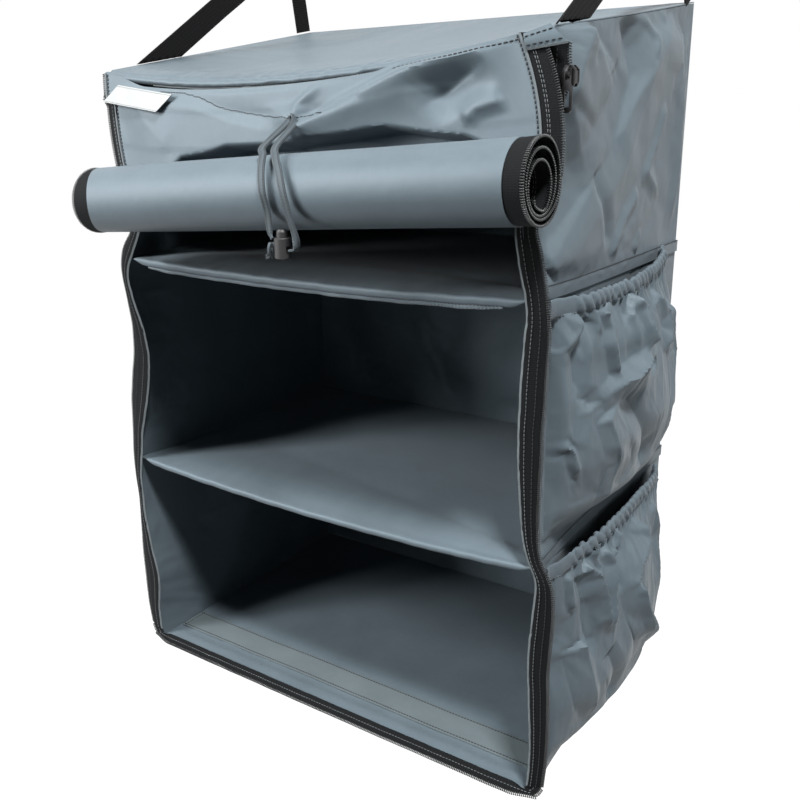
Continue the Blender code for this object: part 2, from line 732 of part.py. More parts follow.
def make_strap(side, sign, webbing):
    """One band, sewn in at the front, over the hook and down to the back, turned flat at the top."""
    apex_along, apex_above = STRAP_APEX
    hook = 0.010
    half = STRAP_WIDTH / 2
    run = (strap_point(sign, 1, 0) - strap_point(sign, 0, 0)).normalized()
    rise = (strap_point(sign, 0, 1) - strap_point(sign, 0, 0)).normalized()
    outward = Vector((sign, 0, 0))
    front = strap_point(sign, STRAP_FRONT, 0)
    back = strap_point(sign, STRAP_BACK, STRAP_LIFT)
    lean = math.atan2(apex_above, apex_along - STRAP_FRONT)
    inside = strap_point(sign, apex_along, apex_above) - (run + rise) * hook
    quarter = math.pi / 2

    # Each station is a point, the direction of travel and the direction of the band's width
    stations = []
    crown = [inside + hook * (run * math.cos(a) + rise * math.sin(a))
             for a in [(quarter + lean) * (1 - k / 6) for k in range(7)]]
    climb = (crown[0] - front).normalized()
    length = (crown[0] - front).length
    edgewise = Vector((0, -climb.z, climb.y))
    for k in range(9):
        t = k / 8
        turn = blend([0.0, 0.0, quarter], t)
        stations.append((front + climb * (0.045 + (length - 0.045) * t), climb,
                         edgewise * math.cos(turn) + outward * math.sin(turn)))
    for k in range(1, 7):
        spoke = (crown[k] - inside).normalized()
        stations.append((crown[k], Vector((0, spoke.z, -spoke.y)), outward))
    down = (back - crown[-1]).normalized()
    drop = (back - crown[-1]).length
    edgewise_back = Vector((0, down.z, -down.y))
    for k in range(1, 8):
        t = k / 7
        turn = blend([0.0, quarter, quarter], t)
        stations.append((crown[-1] + down * drop * t, down,
                         outward * math.cos(turn) + edgewise_back * math.sin(turn)))

    # The first section is cut along the top's edge, so the band comes out of the seam all along it
    flat = climb.cross(edgewise).normalized() * STRAP_THICKNESS / 2
    foot = [front + edgewise * amount + climb * ((STRAP_LIFT - amount * edgewise.dot(rise)) / climb.dot(rise))
            for amount in (-half, half)]
    sections = [[foot[0] - flat, foot[1] - flat, foot[1] + flat, foot[0] + flat]]
    for point, along, across in stations:
        wide = across.normalized() * half
        thick = along.cross(wide).normalized() * STRAP_THICKNESS / 2
        sections.append([point - wide - thick, point + wide - thick, point + wide + thick, point - wide + thick])
    smooth(loft(f"{side}_hanging_strap", sections, webbing), 50)


def front_plate(work, outline, y_from, y_to):
    """Adds a flat piece drawn as (x, z) points and given its thickness along Y."""
    face = work.faces.new([work.verts.new((x, y_from, z)) for x, z in outline])
    grown = bmesh.ops.extrude_face_region(work, geom=[face])
    corners = [part for part in grown["geom"] if isinstance(part, bmesh.types.BMVert)]
    bmesh.ops.translate(work, vec=(0, y_to - y_from, 0), verts=corners)


def make_slider(metal):
    """Two plates joined by a post beside the coil, with a bail in front that holds the pull."""
    x, y = TAPE_EDGE
    low = SLIDER_Z - SLIDER_LENGTH / 2
    high = SLIDER_Z + SLIDER_LENGTH / 2
    half = SLIDER_WIDTH / 2
    room = 0.0023
    plate = 0.0015
    face_y = y - room - plate
    post_x = x + COIL_RADIUS + 0.0006
    outline = [(x - half + 0.0020, low), (x - half, low + 0.0030), (x - half, high - 0.0040),
               (x - half + 0.0030, high), (post_x + 0.0004, high), (x + half, high - 0.0030),
               (x + half, low + 0.0030), (x + half - 0.0015, low)]
    work = bmesh.new()
    front_plate(work, outline, face_y, y - room)
    front_plate(work, outline, y + room, y + room + plate)
    plates = finish("zip_slider_body", work, metal)
    post = box("zip_slider_post", (post_x, y - room - plate / 2, low + 0.0020),
               (x + half - 0.0004, y + room + plate / 2, high - 0.0040), metal)

    bail_radius = 0.0042
    bail_wire = 0.0007
    bail_z = PULL_PIVOT[1] - 0.0013
    rings = []
    for k in range(9):
        angle = math.pi * k / 8
        outward = Vector((0, -math.sin(angle), math.cos(angle)))
        centre = Vector((x, face_y + plate / 2, bail_z)) + bail_radius * outward
        rings.append([centre + bail_wire * (outward * math.cos(a) + Vector((1.4, 0, 0)) * math.sin(a))
                      for a in [math.tau * n / 8 for n in range(8)]])
    arch = loft("zip_slider_bail", rings, metal)
    for other in (post, arch):
        change = plates.modifiers.new("Join", "BOOLEAN")
        change.operation = "UNION"
        change.object = other
        hide_cutter(other)

    # The pull's bar lies inside the bail, and its arms pass the bail on both sides
    pull_y, pivot_z = PULL_PIVOT
    bar = 0.0007
    arm, wide, taper = 0.0030, 0.0042, 0.0022
    top = pivot_z + bar
    end = top - PULL_LENGTH
    outline = [(arm, top), (arm, top - 0.0100), (wide, top - 0.0130), (wide, end + taper), (wide - taper, end)]
    outline = [(x + dx, z) for dx, z in outline] + [(x - dx, z) for dx, z in reversed(outline)]
    work = bmesh.new()
    front_plate(work, outline, pull_y - PULL_THICKNESS / 2, pull_y + PULL_THICKNESS / 2)
    pull = finish("zip_pull_tab", work, metal)
    inner = 0.0018
    cut(pull, box("zip_pull_loop", (x - inner, pull_y - 0.01, top - 0.0078),
                  (x + inner, pull_y + 0.01, pivot_z - bar), metal))
    cut(pull, box("zip_pull_slot", (x - inner, pull_y - 0.01, end + 0.0040),
                  (x + inner, pull_y + 0.01, top - 0.0150), metal))


def main():
    clear_scene()
    fabric = material("coated_fabric", (0.19, 0.23, 0.26), 0.62)
    trim = material("facing_cloth", (0.30, 0.33, 0.34), 0.7)
    hem = material("elastic_hem", (0.19, 0.23, 0.26), 0.7)
    tape = material("zip_tape", (0.012, 0.014, 0.016), 0.8)
    webbing = material("webbing", (0.01, 0.01, 0.012), 0.85)
    cord = material("tie_cloth", (0.20, 0.24, 0.26), 0.7)
    plastic = material("lock_plastic", (0.012, 0.012, 0.013), 0.45)
    steel = material("spring_steel", (0.6, 0.6, 0.6), 0.3, 1.0)
    metal = material("slider_metal", (0.02, 0.02, 0.022), 0.35, 0.8)
    board = material("board_plastic", (0.08, 0.08, 0.085), 0.6)
    label = material("label_film", (0.82, 0.83, 0.82), 0.45)

    make_top(fabric)
    make_walls(fabric)
    make_shelves(fabric, board)
    make_base(fabric, trim, tape, board)
    make_side_tapes(tape)
    make_flap(fabric, tape, label)
    make_tie(fabric, cord, plastic, steel)
    make_pockets(fabric, hem)
    for side, sign in (("left", -1), ("right", 1)):
        make_strap(side, sign, webbing)
    make_slider(metal)


main()
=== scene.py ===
import math

import bpy
import numpy as np
from mathutils import Matrix, Vector, noise


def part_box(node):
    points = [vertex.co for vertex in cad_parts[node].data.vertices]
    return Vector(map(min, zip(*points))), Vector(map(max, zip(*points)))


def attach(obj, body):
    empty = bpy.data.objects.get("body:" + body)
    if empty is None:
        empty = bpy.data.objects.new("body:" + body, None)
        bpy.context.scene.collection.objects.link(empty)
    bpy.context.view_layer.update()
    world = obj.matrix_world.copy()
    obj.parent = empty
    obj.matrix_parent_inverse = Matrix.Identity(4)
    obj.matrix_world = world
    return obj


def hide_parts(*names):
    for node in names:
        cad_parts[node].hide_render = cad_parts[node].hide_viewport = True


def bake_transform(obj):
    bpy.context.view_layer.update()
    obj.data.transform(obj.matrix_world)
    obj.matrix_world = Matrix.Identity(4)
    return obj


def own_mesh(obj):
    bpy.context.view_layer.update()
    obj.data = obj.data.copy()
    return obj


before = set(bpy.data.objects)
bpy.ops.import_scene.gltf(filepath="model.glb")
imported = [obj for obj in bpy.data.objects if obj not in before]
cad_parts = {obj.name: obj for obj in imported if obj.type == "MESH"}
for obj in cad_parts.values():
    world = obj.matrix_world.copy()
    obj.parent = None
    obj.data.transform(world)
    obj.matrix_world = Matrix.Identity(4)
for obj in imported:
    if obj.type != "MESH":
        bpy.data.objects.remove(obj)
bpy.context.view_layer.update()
for leftover in ("Cube", "Light", "Camera"):
    if leftover in bpy.data.objects:
        bpy.data.objects.remove(bpy.data.objects[leftover], do_unlink=True)
bpy.ops.object.select_all(action="DESELECT")
print("frame loaded")

# Measures that the frame gives
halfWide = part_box("right_wall_lower")[1].x
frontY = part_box("right_wall_lower")[0].y
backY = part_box("right_wall_lower")[1].y
levelZ = {"shelf1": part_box("shelf_1_sleeve")[1].z, "shelf2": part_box("shelf_2_sleeve")[1].z,
          "base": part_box("base_sleeve")[1].z}
topEdge = {"frontY": -0.168, "frontZ": 0.669, "backY": 0.168, "backZ": 0.7257, "sag": 0.016, "midSag": 0.006,
           "lift": 0.0135, "liftFrom": -0.12}
seat = 0.0001
# Each tier's lower and upper end; the upper tier ends at the sloping top
tiers = {"upper": (levelZ["shelf1"] + seat, None), "middle": (levelZ["shelf2"] + seat, levelZ["shelf1"]),
         "lower": (5 * seat, levelZ["shelf2"])}
sides = {"left": -1, "right": 1}
cloth = {"thick": 0.0009, "inset": 0.00075, "underTop": 0.0018, "underBack": 0.0023}

# Camera, at the place that the photograph was taken from
view = {"place": (0.55401, -0.81253, 0.62234), "turn": 34.3736, "down": 17.669, "roll": -0.929,
        "lens": 40.4126}
cameraData = bpy.data.cameras.new("camera")
cameraData.lens = view["lens"]
cameraData.sensor_width = 36
cameraItem = bpy.data.objects.new("camera", cameraData)
bpy.context.scene.collection.objects.link(cameraItem)
turn, tilt, roll = (math.radians(angle) for angle in (view["turn"], 90 - view["down"], view["roll"]))
cameraItem.matrix_world = (Matrix.Translation(view["place"]) @ Matrix.Rotation(turn, 4, "Z")
                           @ Matrix.Rotation(tilt, 4, "X") @ Matrix.Rotation(roll, 4, "Z"))
bpy.context.scene.camera = cameraItem
bpy.context.scene.view_settings.view_transform = "Standard"


# Lamps, world and floor
lamps = {
    "key": {"place": (-1.15, -1.55, 1.60), "aim": (0.0, 0.0, 0.36), "size": 0.6, "power": 52},
    "window": {"place": (-1.60, -1.75, 0.95), "aim": (0.1, 0.0, 0.36), "size": 0.5, "power": 38},
    "side": {"place": (1.00, -0.85, 2.45), "aim": (0.25, 0.0, 0.4), "size": 0.35, "power": 98},
    "low": {"place": (1.8, 0.25, 1.1), "aim": (0.25, 0.0, 0.4), "size": 0.6, "power": 8},
}
for lampName, lamp in lamps.items():
    lampData = bpy.data.lights.new(lampName, "AREA")
    lampData.shape = "SQUARE"
    lampData.size = lamp["size"]
    lampData.energy = lamp["power"]
    lampItem = bpy.data.objects.new(lampName, lampData)
    bpy.context.scene.collection.objects.link(lampItem)
    lampItem.location = lamp["place"]
    aim = Vector(lamp["aim"]) - Vector(lamp["place"])
    lampItem.rotation_euler = aim.to_track_quat("-Z", "Y").to_euler()


def mathNode(tree, operation, first, second):
    node = tree.nodes.new("ShaderNodeMath")
    node.operation = operation
    for socket, value in zip(node.inputs, (first, second)):
        if isinstance(value, (int, float)):
            socket.default_value = value
        else:
            tree.links.new(value, socket)
    return node.outputs[0]


def rangeNode(tree, value, low, high, start=0.0, end=1.0):
    # A value that runs from start to end, moved to the range from low to high
    node = tree.nodes.new("ShaderNodeMapRange")
    for name, amount in {"From Min": start, "From Max": end, "To Min": low, "To Max": high}.items():
        node.inputs[name].default_value = amount
    tree.links.new(value, node.inputs["Value"])
    return node.outputs["Result"]


def seenDirectly(tree):
    # 1 for rays that come from the camera or off something shiny or clear
    rays = tree.nodes.new("ShaderNodeLightPath").outputs
    shiny = mathNode(tree, "MAXIMUM", rays["Is Camera Ray"], rays["Is Glossy Ray"])
    return mathNode(tree, "MAXIMUM", shiny, rays["Is Transmission Ray"])


surround = {"light": 0.018, "floorZ": -0.55, "floorSize": 14.0, "floorGlow": 0.98,
            "floorColour": (0.10, 0.10, 0.10)}
world = bpy.data.worlds.new("surround")
bpy.context.scene.world = world
world.use_nodes = True
worldTree = world.node_tree
background = worldTree.nodes["Background"]
background.inputs["Color"].default_value = (1, 1, 1, 1)
strength = rangeNode(worldTree, seenDirectly(worldTree), surround["light"], 1.0)
worldTree.links.new(strength, background.inputs["Strength"])

bpy.ops.mesh.primitive_grid_add(x_subdivisions=8, y_subdivisions=8, size=surround["floorSize"],
                                location=(0, 0, surround["floorZ"]))
floor = bpy.context.active_object
floor.name = "floor"
floorMaterial = bpy.data.materials.new("paleFloor")
floorMaterial.use_nodes = True
floorTree = floorMaterial.node_tree
floorShader = floorTree.nodes["Principled BSDF"]
floorShader.inputs["Base Color"].default_value = (*surround["floorColour"], 1)
floorShader.inputs["Roughness"].default_value = 0.9
floorShader.inputs["Emission Color"].default_value = (1, 1, 1, 1)
glow = mathNode(floorTree, "MULTIPLY", seenDirectly(floorTree), surround["floorGlow"])
floorTree.links.new(glow, floorShader.inputs["Emission Strength"])
floor.data.materials.append(floorMaterial)
bpy.ops.object.select_all(action="DESELECT")
print("camera, lamps and floor")


# Materials
def startMaterial(name, colour, roughness, metallic=0.0, specular=0.5):
    made = bpy.data.materials.new(name)
    made.use_nodes = True
    shader = made.node_tree.nodes["Principled BSDF"]
    shader.inputs["Base Color"].default_value = (*colour, 1)
    shader.inputs["Roughness"].default_value = roughness
    shader.inputs["Metallic"].default_value = metallic
    shader.inputs["Specular IOR Level"].default_value = specular
    return made, made.node_tree, shader


def noiseNode(tree, coordinates, scale, detail):
    node = tree.nodes.new("ShaderNodeTexNoise")
    node.inputs["Scale"].default_value = scale
    node.inputs["Detail"].default_value = detail
    tree.links.new(coordinates, node.inputs["Vector"])
    return node.outputs["Fac"]


def bandNode(tree, coordinates, direction, width):
    # Sine bands, one full wave for each width in metres
    node = tree.nodes.new("ShaderNodeTexWave")
    node.wave_type = "BANDS"
    node.bands_direction = direction
    node.wave_profile = "SIN"
    node.inputs["Scale"].default_value = math.tau / 20 / width
    tree.links.new(coordinates, node.inputs["Vector"])
    return node.outputs["Fac"]


def shade(colour, amount):
    return tuple(min(channel * amount, 1.0) for channel in colour)


def tintNode(tree, shader, factor, colour, dark, light):
    # The colour runs between two of its shades as the factor goes from 0.3 to 0.7
    mix = tree.nodes.new("ShaderNodeMix")
    mix.data_type = "RGBA"
    mix.inputs["A"].default_value = (*shade(colour, dark), 1)
    mix.inputs["B"].default_value = (*shade(colour, light), 1)
    tree.links.new(rangeNode(tree, factor, 0.0, 1.0, 0.3, 0.7), mix.inputs["Factor"])
    tree.links.new(mix.outputs["Result"], shader.inputs["Base Color"])


def roughNode(tree, shader, factor, low, high):
    tree.links.new(rangeNode(tree, factor, low, high), shader.inputs["Roughness"])


def blendNode(tree, first, share, second):
    # The first value's share, and the rest of the second
    return mathNode(tree, "ADD", mathNode(tree, "MULTIPLY", first, share),
                    mathNode(tree, "MULTIPLY", second, 1 - share))


def sheen(shader, weight, roughness):
    shader.inputs["Sheen Weight"].default_value = weight
    shader.inputs["Sheen Roughness"].default_value = roughness


def bumpNode(tree, shader, height, distance, strength, below=None):
    node = tree.nodes.new("ShaderNodeBump")
    node.inputs["Distance"].default_value = distance
    node.inputs["Strength"].default_value = strength
    tree.links.new(height, node.inputs["Height"])
    if below:
        tree.links.new(below.outputs["Normal"], node.inputs["Normal"])
    tree.links.new(node.outputs["Normal"], shader.inputs["Normal"])
    return node


fabricLook = {"colour": (0.090, 0.116, 0.134), "roughness": 0.48, "spread": 0.07, "patches": 0.10,
              "thread": 0.0009, "weave": 0.00013, "rumple": 0.0011, "film": (0.80, 0.92, 1.0)}


def clothMaterial(name, look):
    # Coated cloth: a fine plain weave under a thin satin film, with patches where the film lies thicker
    made, tree, shader = startMaterial(name, look["colour"], look["roughness"], specular=0.28)
    shader.inputs["Specular Tint"].default_value = (*look["film"], 1)
    places = tree.nodes.new("ShaderNodeTexCoord").outputs
    warp = mathNode(tree, "SUBTRACT", bandNode(tree, places["UV"], "X", look["thread"]), 0.5)
    weft = mathNode(tree, "SUBTRACT", bandNode(tree, places["UV"], "Y", look["thread"]), 0.5)
    weave = mathNode(tree, "MULTIPLY", warp, weft)
    patches = noiseNode(tree, places["Object"], 14, 4)
    both = blendNode(tree, patches, 0.75, noiseNode(tree, places["Object"], 160, 3))
    withWeave = mathNode(tree, "ADD", both, mathNode(tree, "MULTIPLY", weave, 0.5))
    tintNode(tree, shader, withWeave, look["colour"], 1 - look["patches"], 1 + look["patches"])
    roughNode(tree, shader, patches, look["roughness"] - look["spread"], look["roughness"] + look["spread"])
    rumple = noiseNode(tree, places["Object"], 34, 2)
    low = bumpNode(tree, shader, rumple, look["rumple"], 0.5)
    bumpNode(tree, shader, weave, look["weave"], 0.7, low)
    sheen(shader, 0.05, 0.5)
    return made


tapeLook = {"colour": (0.0046, 0.0054, 0.0060), "roughness": 0.82, "rib": 0.0011, "depth": 0.00025}


def ribbedMaterial(name, look, direction="X"):
    # Woven band with a rib, on the piece's own UV map in metres
    made, tree, shader = startMaterial(name, look["colour"], look["roughness"], specular=0.12)
    places = tree.nodes.new("ShaderNodeTexCoord").outputs
    ribs = bandNode(tree, places["UV"], direction, look["rib"])
    across = bandNode(tree, places["UV"], "Y" if direction == "X" else "X", look["rib"] * 1.7)
    faint = mathNode(tree, "ADD", mathNode(tree, "MULTIPLY", across, 0.5), 0.5)
    knit = mathNode(tree, "MULTIPLY", ribs, faint)
    lint = noiseNode(tree, places["UV"], 900, 2)
    tintNode(tree, shader, blendNode(tree, knit, 0.6, lint), look["colour"], 0.55, 1.7)
    bumpNode(tree, shader, knit, look["depth"], 0.9)
    sheen(shader, 0.015, 0.4)
    return made


def grainMaterial(name, colour, roughness, metallic=0.0, scale=900.0, depth=0.00004, spread=0.15):
    # Moulded, cast or spun stuff: fine grain and a slow change of shade, on Object coordinates
    made, tree, shader = startMaterial(name, colour, roughness, metallic)
    places = tree.nodes.new("ShaderNodeTexCoord").outputs
    slow = noiseNode(tree, places["Object"], 60, 3)
    tintNode(tree, shader, slow, colour, 1 - spread, 1 + spread)
    roughNode(tree, shader, slow, max(roughness - 0.1, 0.02), min(roughness + 0.1, 1.0))
    bumpNode(tree, shader, noiseNode(tree, places["Object"], scale, 2), depth, 0.6)
    return made


fabric = clothMaterial("coatedFabric", fabricLook)
facing = clothMaterial("facingCloth", {**fabricLook, "colour": (0.096, 0.118, 0.126), "roughness": 0.6})
hemCloth = clothMaterial("elasticHem", {**fabricLook, "colour": (0.088, 0.112, 0.130), "roughness": 0.55})
tieCloth = clothMaterial("tieCloth", {**fabricLook, "colour": (0.050, 0.062, 0.070), "roughness": 0.6})
zipTape = ribbedMaterial("zipTape", tapeLook)
webbing = ribbedMaterial("webbing", {"colour": (0.0040, 0.0040, 0.0044), "roughness": 0.85, "rib": 0.0021,
                                     "depth": 0.0005}, "Y")
coilPlastic = grainMaterial("coilPlastic", (0.014, 0.016, 0.017), 0.34)
darkThread = grainMaterial("darkThread", (0.008, 0.010, 0.012), 0.75, scale=2500)
paleThread = grainMaterial("paleThread", (0.095, 0.105, 0.110), 0.75, scale=2500)
piping = grainMaterial("seamPiping", (0.095, 0.112, 0.120), 0.75, scale=1400, depth=0.0002)
labelFilm = grainMaterial("labelFilm", (0.25, 0.262, 0.264), 0.42, scale=500, spread=0.03)
lockPlastic = grainMaterial("lockPlastic", (0.006, 0.006, 0.007), 0.52)
springSteel = grainMaterial("springSteel", (0.62, 0.61, 0.59), 0.28, 1.0)
sliderMetal = grainMaterial("sliderMetal", (0.028, 0.028, 0.030), 0.36, 0.75, spread=0.3)
boardPlastic = grainMaterial("boardPlastic", (0.07, 0.07, 0.075), 0.6, spread=0.2)
print("materials")


# Shapes of the top
def backShare(y):
    return (y - topEdge["frontY"]) / (topEdge["backY"] - topEdge["frontY"])


def topLine(y):
    return topEdge["frontZ"] + backShare(y) * (topEdge["backZ"] - topEdge["frontZ"])


def topLift(x, y):
    # The right front corner hangs higher than the left one
    share = np.clip((x - topEdge["liftFrom"]) / (halfWide - topEdge["liftFrom"]), 0, 1)
    return topEdge["lift"] * share ** 1.15 * (1 - np.clip(backShare(y), 0, 1)) ** 1.3


def topSurface(x, y):
    across = 1 - (x / halfWide) ** 2
    t = backShare(y)
    sag = topEdge["sag"] * (1 - t) ** 2 + topEdge["midSag"] * 4 * t * (1 - t)
    return topLine(y) + topLift(x, y) - across * sag


def smoothStep(t):
    t = np.clip(t, 0, 1)
    return t * t * (3 - 2 * t)


def bumpAt(t, middle, width):
    # A soft hill, 1 in the middle and nothing a width away
    return np.maximum(0, 1 - ((t - middle) / width) ** 2) ** 2


def middleShare(rows, columns):
    # 1 in the middle of a grid and nothing at its edges
    down, across = (bumpAt(np.linspace(-1, 1, count), 0, 1) for count in (rows, columns))
    return down[:, None] * across


def unit(vectors):
    return vectors / np.maximum(np.linalg.norm(vectors, axis=-1, keepdims=True), 1e-12)


def runLengths(path):
    # How far along a path each of its points lies
    steps = np.linalg.norm(np.diff(np.asarray(path, float), axis=0), axis=1)
    return np.concatenate(([0], np.cumsum(steps)))


def readRows(shares, rows):
    # Rows of three numbers, read at shares of their count
    rows = np.broadcast_to(rows, (max(len(np.atleast_2d(rows)), 2), 3))
    where = np.linspace(0, 1, len(rows))
    return np.stack([np.interp(shares, where, rows[:, k]) for k in range(3)], -1)


def wander(seed, scale, *places):
    # Slow noise from -1 to 1, the same each run
    shape = np.broadcast(*places).shape
    flats = [np.broadcast_to(place, shape).ravel() * scale for place in places]
    while len(flats) < 3:
        flats.append(np.zeros_like(flats[0]))
    values = [noise.noise((a + seed * 7.3, b - seed * 3.1, c + seed * 1.7)) for a, b, c in zip(*flats)]
    return np.array(values).reshape(shape)


# Cloth is drawn as a grid of points, with its place on the flat cut as UV in metres
panels = []


def newPanel(name, points, flat, slack):
    # Slack is how much longer the cloth is than the frame that its edges are pinned to
    rows, columns = points.shape[:2]
    across, down = np.meshgrid(np.linspace(0, flat[0], columns), np.linspace(0, flat[1], rows))
    panel = {"name": name, "points": points, "uv": np.stack((across, down), -1), "flat": flat, "slack": slack}
    panels.append(panel)
    return panel


def addMesh(name, points, faces, made, uv=None):
    # A smooth mesh with its UV map, one place for each corner of each face
    mesh = bpy.data.meshes.new(name)
    mesh.from_pydata(np.asarray(points, float).reshape(-1, 3).tolist(), [], faces)
    layer = mesh.uv_layers.new(name="UVMap")
    if uv is not None:
        layer.data.foreach_set("uv", np.asarray(uv, np.float32).ravel())
    if made:
        mesh.materials.append(made)
    mesh.shade_smooth()
    item = bpy.data.objects.new(name, mesh)
    bpy.context.scene.collection.objects.link(item)
    return item


def gridMesh(name, points, uv, made):
    rows, columns = points.shape[:2]
    index = np.arange(rows * columns).reshape(rows, columns)
    corners = np.stack((index[:-1, :-1], index[:-1, 1:], index[1:, 1:], index[1:, :-1]), -1).reshape(-1, 4)
    return addMesh(name, points, corners.tolist(), made, uv.reshape(-1, 2)[corners.ravel()])


clothStuff = {"frames": 26, "mass": 0.0004, "pull": 60.0, "shear": 20.0, "bend": 0.05, "quality": 6,
              "air": 2.0,
              "weight": 0.15}


def settlePanels():
    # Lets every panel buckle between its pinned edges, all in one run of the simulation
    scene = bpy.context.scene
    working = []
    for panel in panels:
        item = gridMesh(panel["name"] + "Cloth", panel["points"], panel["uv"], None)
        group = item.vertex_groups.new(name="pinned")
        atEdge = np.ones(panel["points"].shape[:2], bool)
        atEdge[1:-1, 1:-1] = False
        group.add(np.nonzero(atEdge.ravel())[0].tolist(), 1.0, "REPLACE")
        change = item.modifiers.new("settle", "CLOTH")
        change.settings.vertex_group_mass = "pinned"
        change.settings.shrink_min = -panel["slack"]
        change.settings.mass = clothStuff["mass"]
        change.settings.tension_stiffness = clothStuff["pull"]
        change.settings.compression_stiffness = clothStuff["pull"]
        change.settings.shear_stiffness = clothStuff["shear"]
        change.settings.bending_stiffness = clothStuff["bend"]
        change.settings.quality = clothStuff["quality"]
        change.settings.air_damping = clothStuff["air"]
        change.settings.effector_weights.gravity = clothStuff["weight"]
        change.collision_settings.use_collision = False
        change.point_cache.frame_start = 1
        change.point_cache.frame_end = clothStuff["frames"]
        working.append((panel, item))
    for step in range(1, clothStuff["frames"] + 1):
        scene.frame_set(step)
    graph = bpy.context.evaluated_depsgraph_get()
    for panel, item in working:
        settled = item.evaluated_get(graph).to_mesh()
        flat = np.empty(len(settled.vertices) * 3, np.float32)
        settled.vertices.foreach_get("co", flat)
        panel["points"] = flat.reshape(panel["points"].shape).astype(float)
        item.evaluated_get(graph).to_mesh_clear()
        mesh = item.data
        bpy.data.objects.remove(item)
        bpy.data.meshes.remove(mesh)
    scene.frame_set(1)


def gridNormals(points):
    return unit(np.cross(np.gradient(points, axis=1), np.gradient(points, axis=0)))


def clothPiece(name, points, uv, made, thick=cloth["thick"]):
    # The grid with the cloth's thickness to both sides, its cut edges kept crisp
    item = gridMesh(name, points, uv, made)
    wall = item.modifiers.new("thickness", "SOLIDIFY")
    wall.thickness = thick
    wall.offset = 0.0
    bpy.context.view_layer.objects.active = item
    bpy.ops.object.modifier_apply(modifier=wall.name)
    item.data.shade_smooth()
    item.data.set_sharp_from_angle(angle=math.radians(50))
    return item


def resample(path, spacing):
    # Points at even spacing along a path, with the directions there
    path, lengths = np.asarray(path, float), runLengths(path)
    count = max(int(lengths[-1] / spacing), 1)
    places = (np.arange(count) + 0.5) * lengths[-1] / count
    behind, found, ahead = (np.stack([np.interp(places + shift, lengths, values) for values in path.T], -1)
                            for shift in (-spacing / 4, 0, spacing / 4))
    return found, unit(ahead - behind), places / lengths[-1]


def tubeFaces(stations, around):
    # Quads between rings of points, and a cap at each end
    faces = []
    for i in range(stations - 1):
        for k in range(around):
            j = (k + 1) % around
            faces.append((i * around + k, i * around + j, (i + 1) * around + j, (i + 1) * around + k))
    last = (stations - 1) * around
    return faces + [tuple(range(around))[::-1], tuple(last + k for k in range(around))]


def copiesAlong(name, rings, found, along, up, made):
    # One small solid, given as rings of (along, side, up) points, set at each place
    rings = np.asarray(rings, float)
    side = unit(np.cross(up, along))
    axes = np.stack((along, side, np.cross(along, side)), 1)
    points = found[:, None] + rings.reshape(-1, 3) @ axes
    solid = tubeFaces(*rings.shape[:2])
    size = points.shape[1]
    faces = [tuple(n * size + k for k in face) for n in range(len(found)) for face in solid]
    return addMesh(name, points, faces, made)


def beadRings(stations, length, flatness=1.0):
    # Six-sided rings at (place, radius) stations along a small solid
    turns = [math.tau * k / 6 for k in range(6)]
    return [[(place * length, radius * math.cos(a), flatness * radius * math.sin(a)) for a in turns]
            for place, radius in stations]


def stitchRow(path, normals, made, pitch=0.0036, length=0.0027, radius=0.00042):
    # A row of thread dashes along a path; one normal, or a row of them, says which way is out of the cloth
    found, along, shares = resample(path, pitch)
    dash = [(-0.5, 0.3 * radius), (-0.36, radius), (0.36, radius), (0.5, 0.3 * radius)]
    return copiesAlong("stitches", beadRings(dash, length), found, along, unit(readRows(shares, normals)),
                       made)


coilLook = {"pitch": 0.0019, "length": 0.0034, "radius": 0.0008}


def coilRow(path, outward, made):
    # Half of a coil zip: a close row of small bars across the tape's edge, each with a thicker head
    found, along, shares = resample(path, coilLook["pitch"])
    out = readRows(shares, outward)
    out = unit(out - along * np.sum(out * along, axis=1, keepdims=True))
    thin, head = coilLook["radius"] * 0.75, coilLook["radius"]
    bar = [(-0.55, thin * 0.5), (-0.45, thin), (0.1, thin), (0.32, head * 1.1), (0.45, head * 0.6)]
    return copiesAlong("coil", beadRings(bar, coilLook["length"], 1.5), found, out, np.cross(along, out),
                       made)


def joinPieces(name, items):
    bpy.ops.object.select_all(action="DESELECT")
    for item in items:
        item.select_set(True)
    bpy.context.view_layer.objects.active = items[0]
    if len(items) > 1:
        bpy.ops.object.join()
    joined = items[0]
    joined.name = name
    joined.select_set(False)
    return joined


def sweep(name, path, sections, made):
    # Sections given as (points, 3) arrays for each station, skinned into a tube with capped ends
    grid = np.asarray(sections, float)
    around = grid.shape[1]
    faces = tubeFaces(*grid.shape[:2])
    lengths, girth = runLengths(path), runLengths(grid[0])
    uv = [(girth[vertex % around], lengths[vertex // around]) for face in faces for vertex in face]
    item = addMesh(name, grid, faces, made, uv)
    bpy.context.view_layer.objects.active = item
    item.select_set(True)
    bpy.ops.object.mode_set(mode="EDIT")
    bpy.ops.mesh.select_all(action="SELECT")
    bpy.ops.mesh.normals_make_consistent(inside=False)
    bpy.ops.object.mode_set(mode="OBJECT")
    item.select_set(False)
    item.data.set_sharp_from_angle(angle=math.radians(60))
    return item


def curveThrough(points, count):
    # A smooth curve through given points
    points = np.asarray(points, float)
    ends = np.vstack((2 * points[0] - points[1], points, 2 * points[-1] - points[-2]))
    found = []
    for place in np.linspace(0, len(points) - 1, count):
        i = min(int(place), len(points) - 2)
        t = place - i
        a, b, c, d = ends[i:i + 4]
        found.append(0.5 * (2 * b + (c - a) * t + (2 * a - 5 * b + 4 * c - d) * t * t
                            + (3 * b - a - 3 * c + d) * t ** 3))
    return np.array(found)


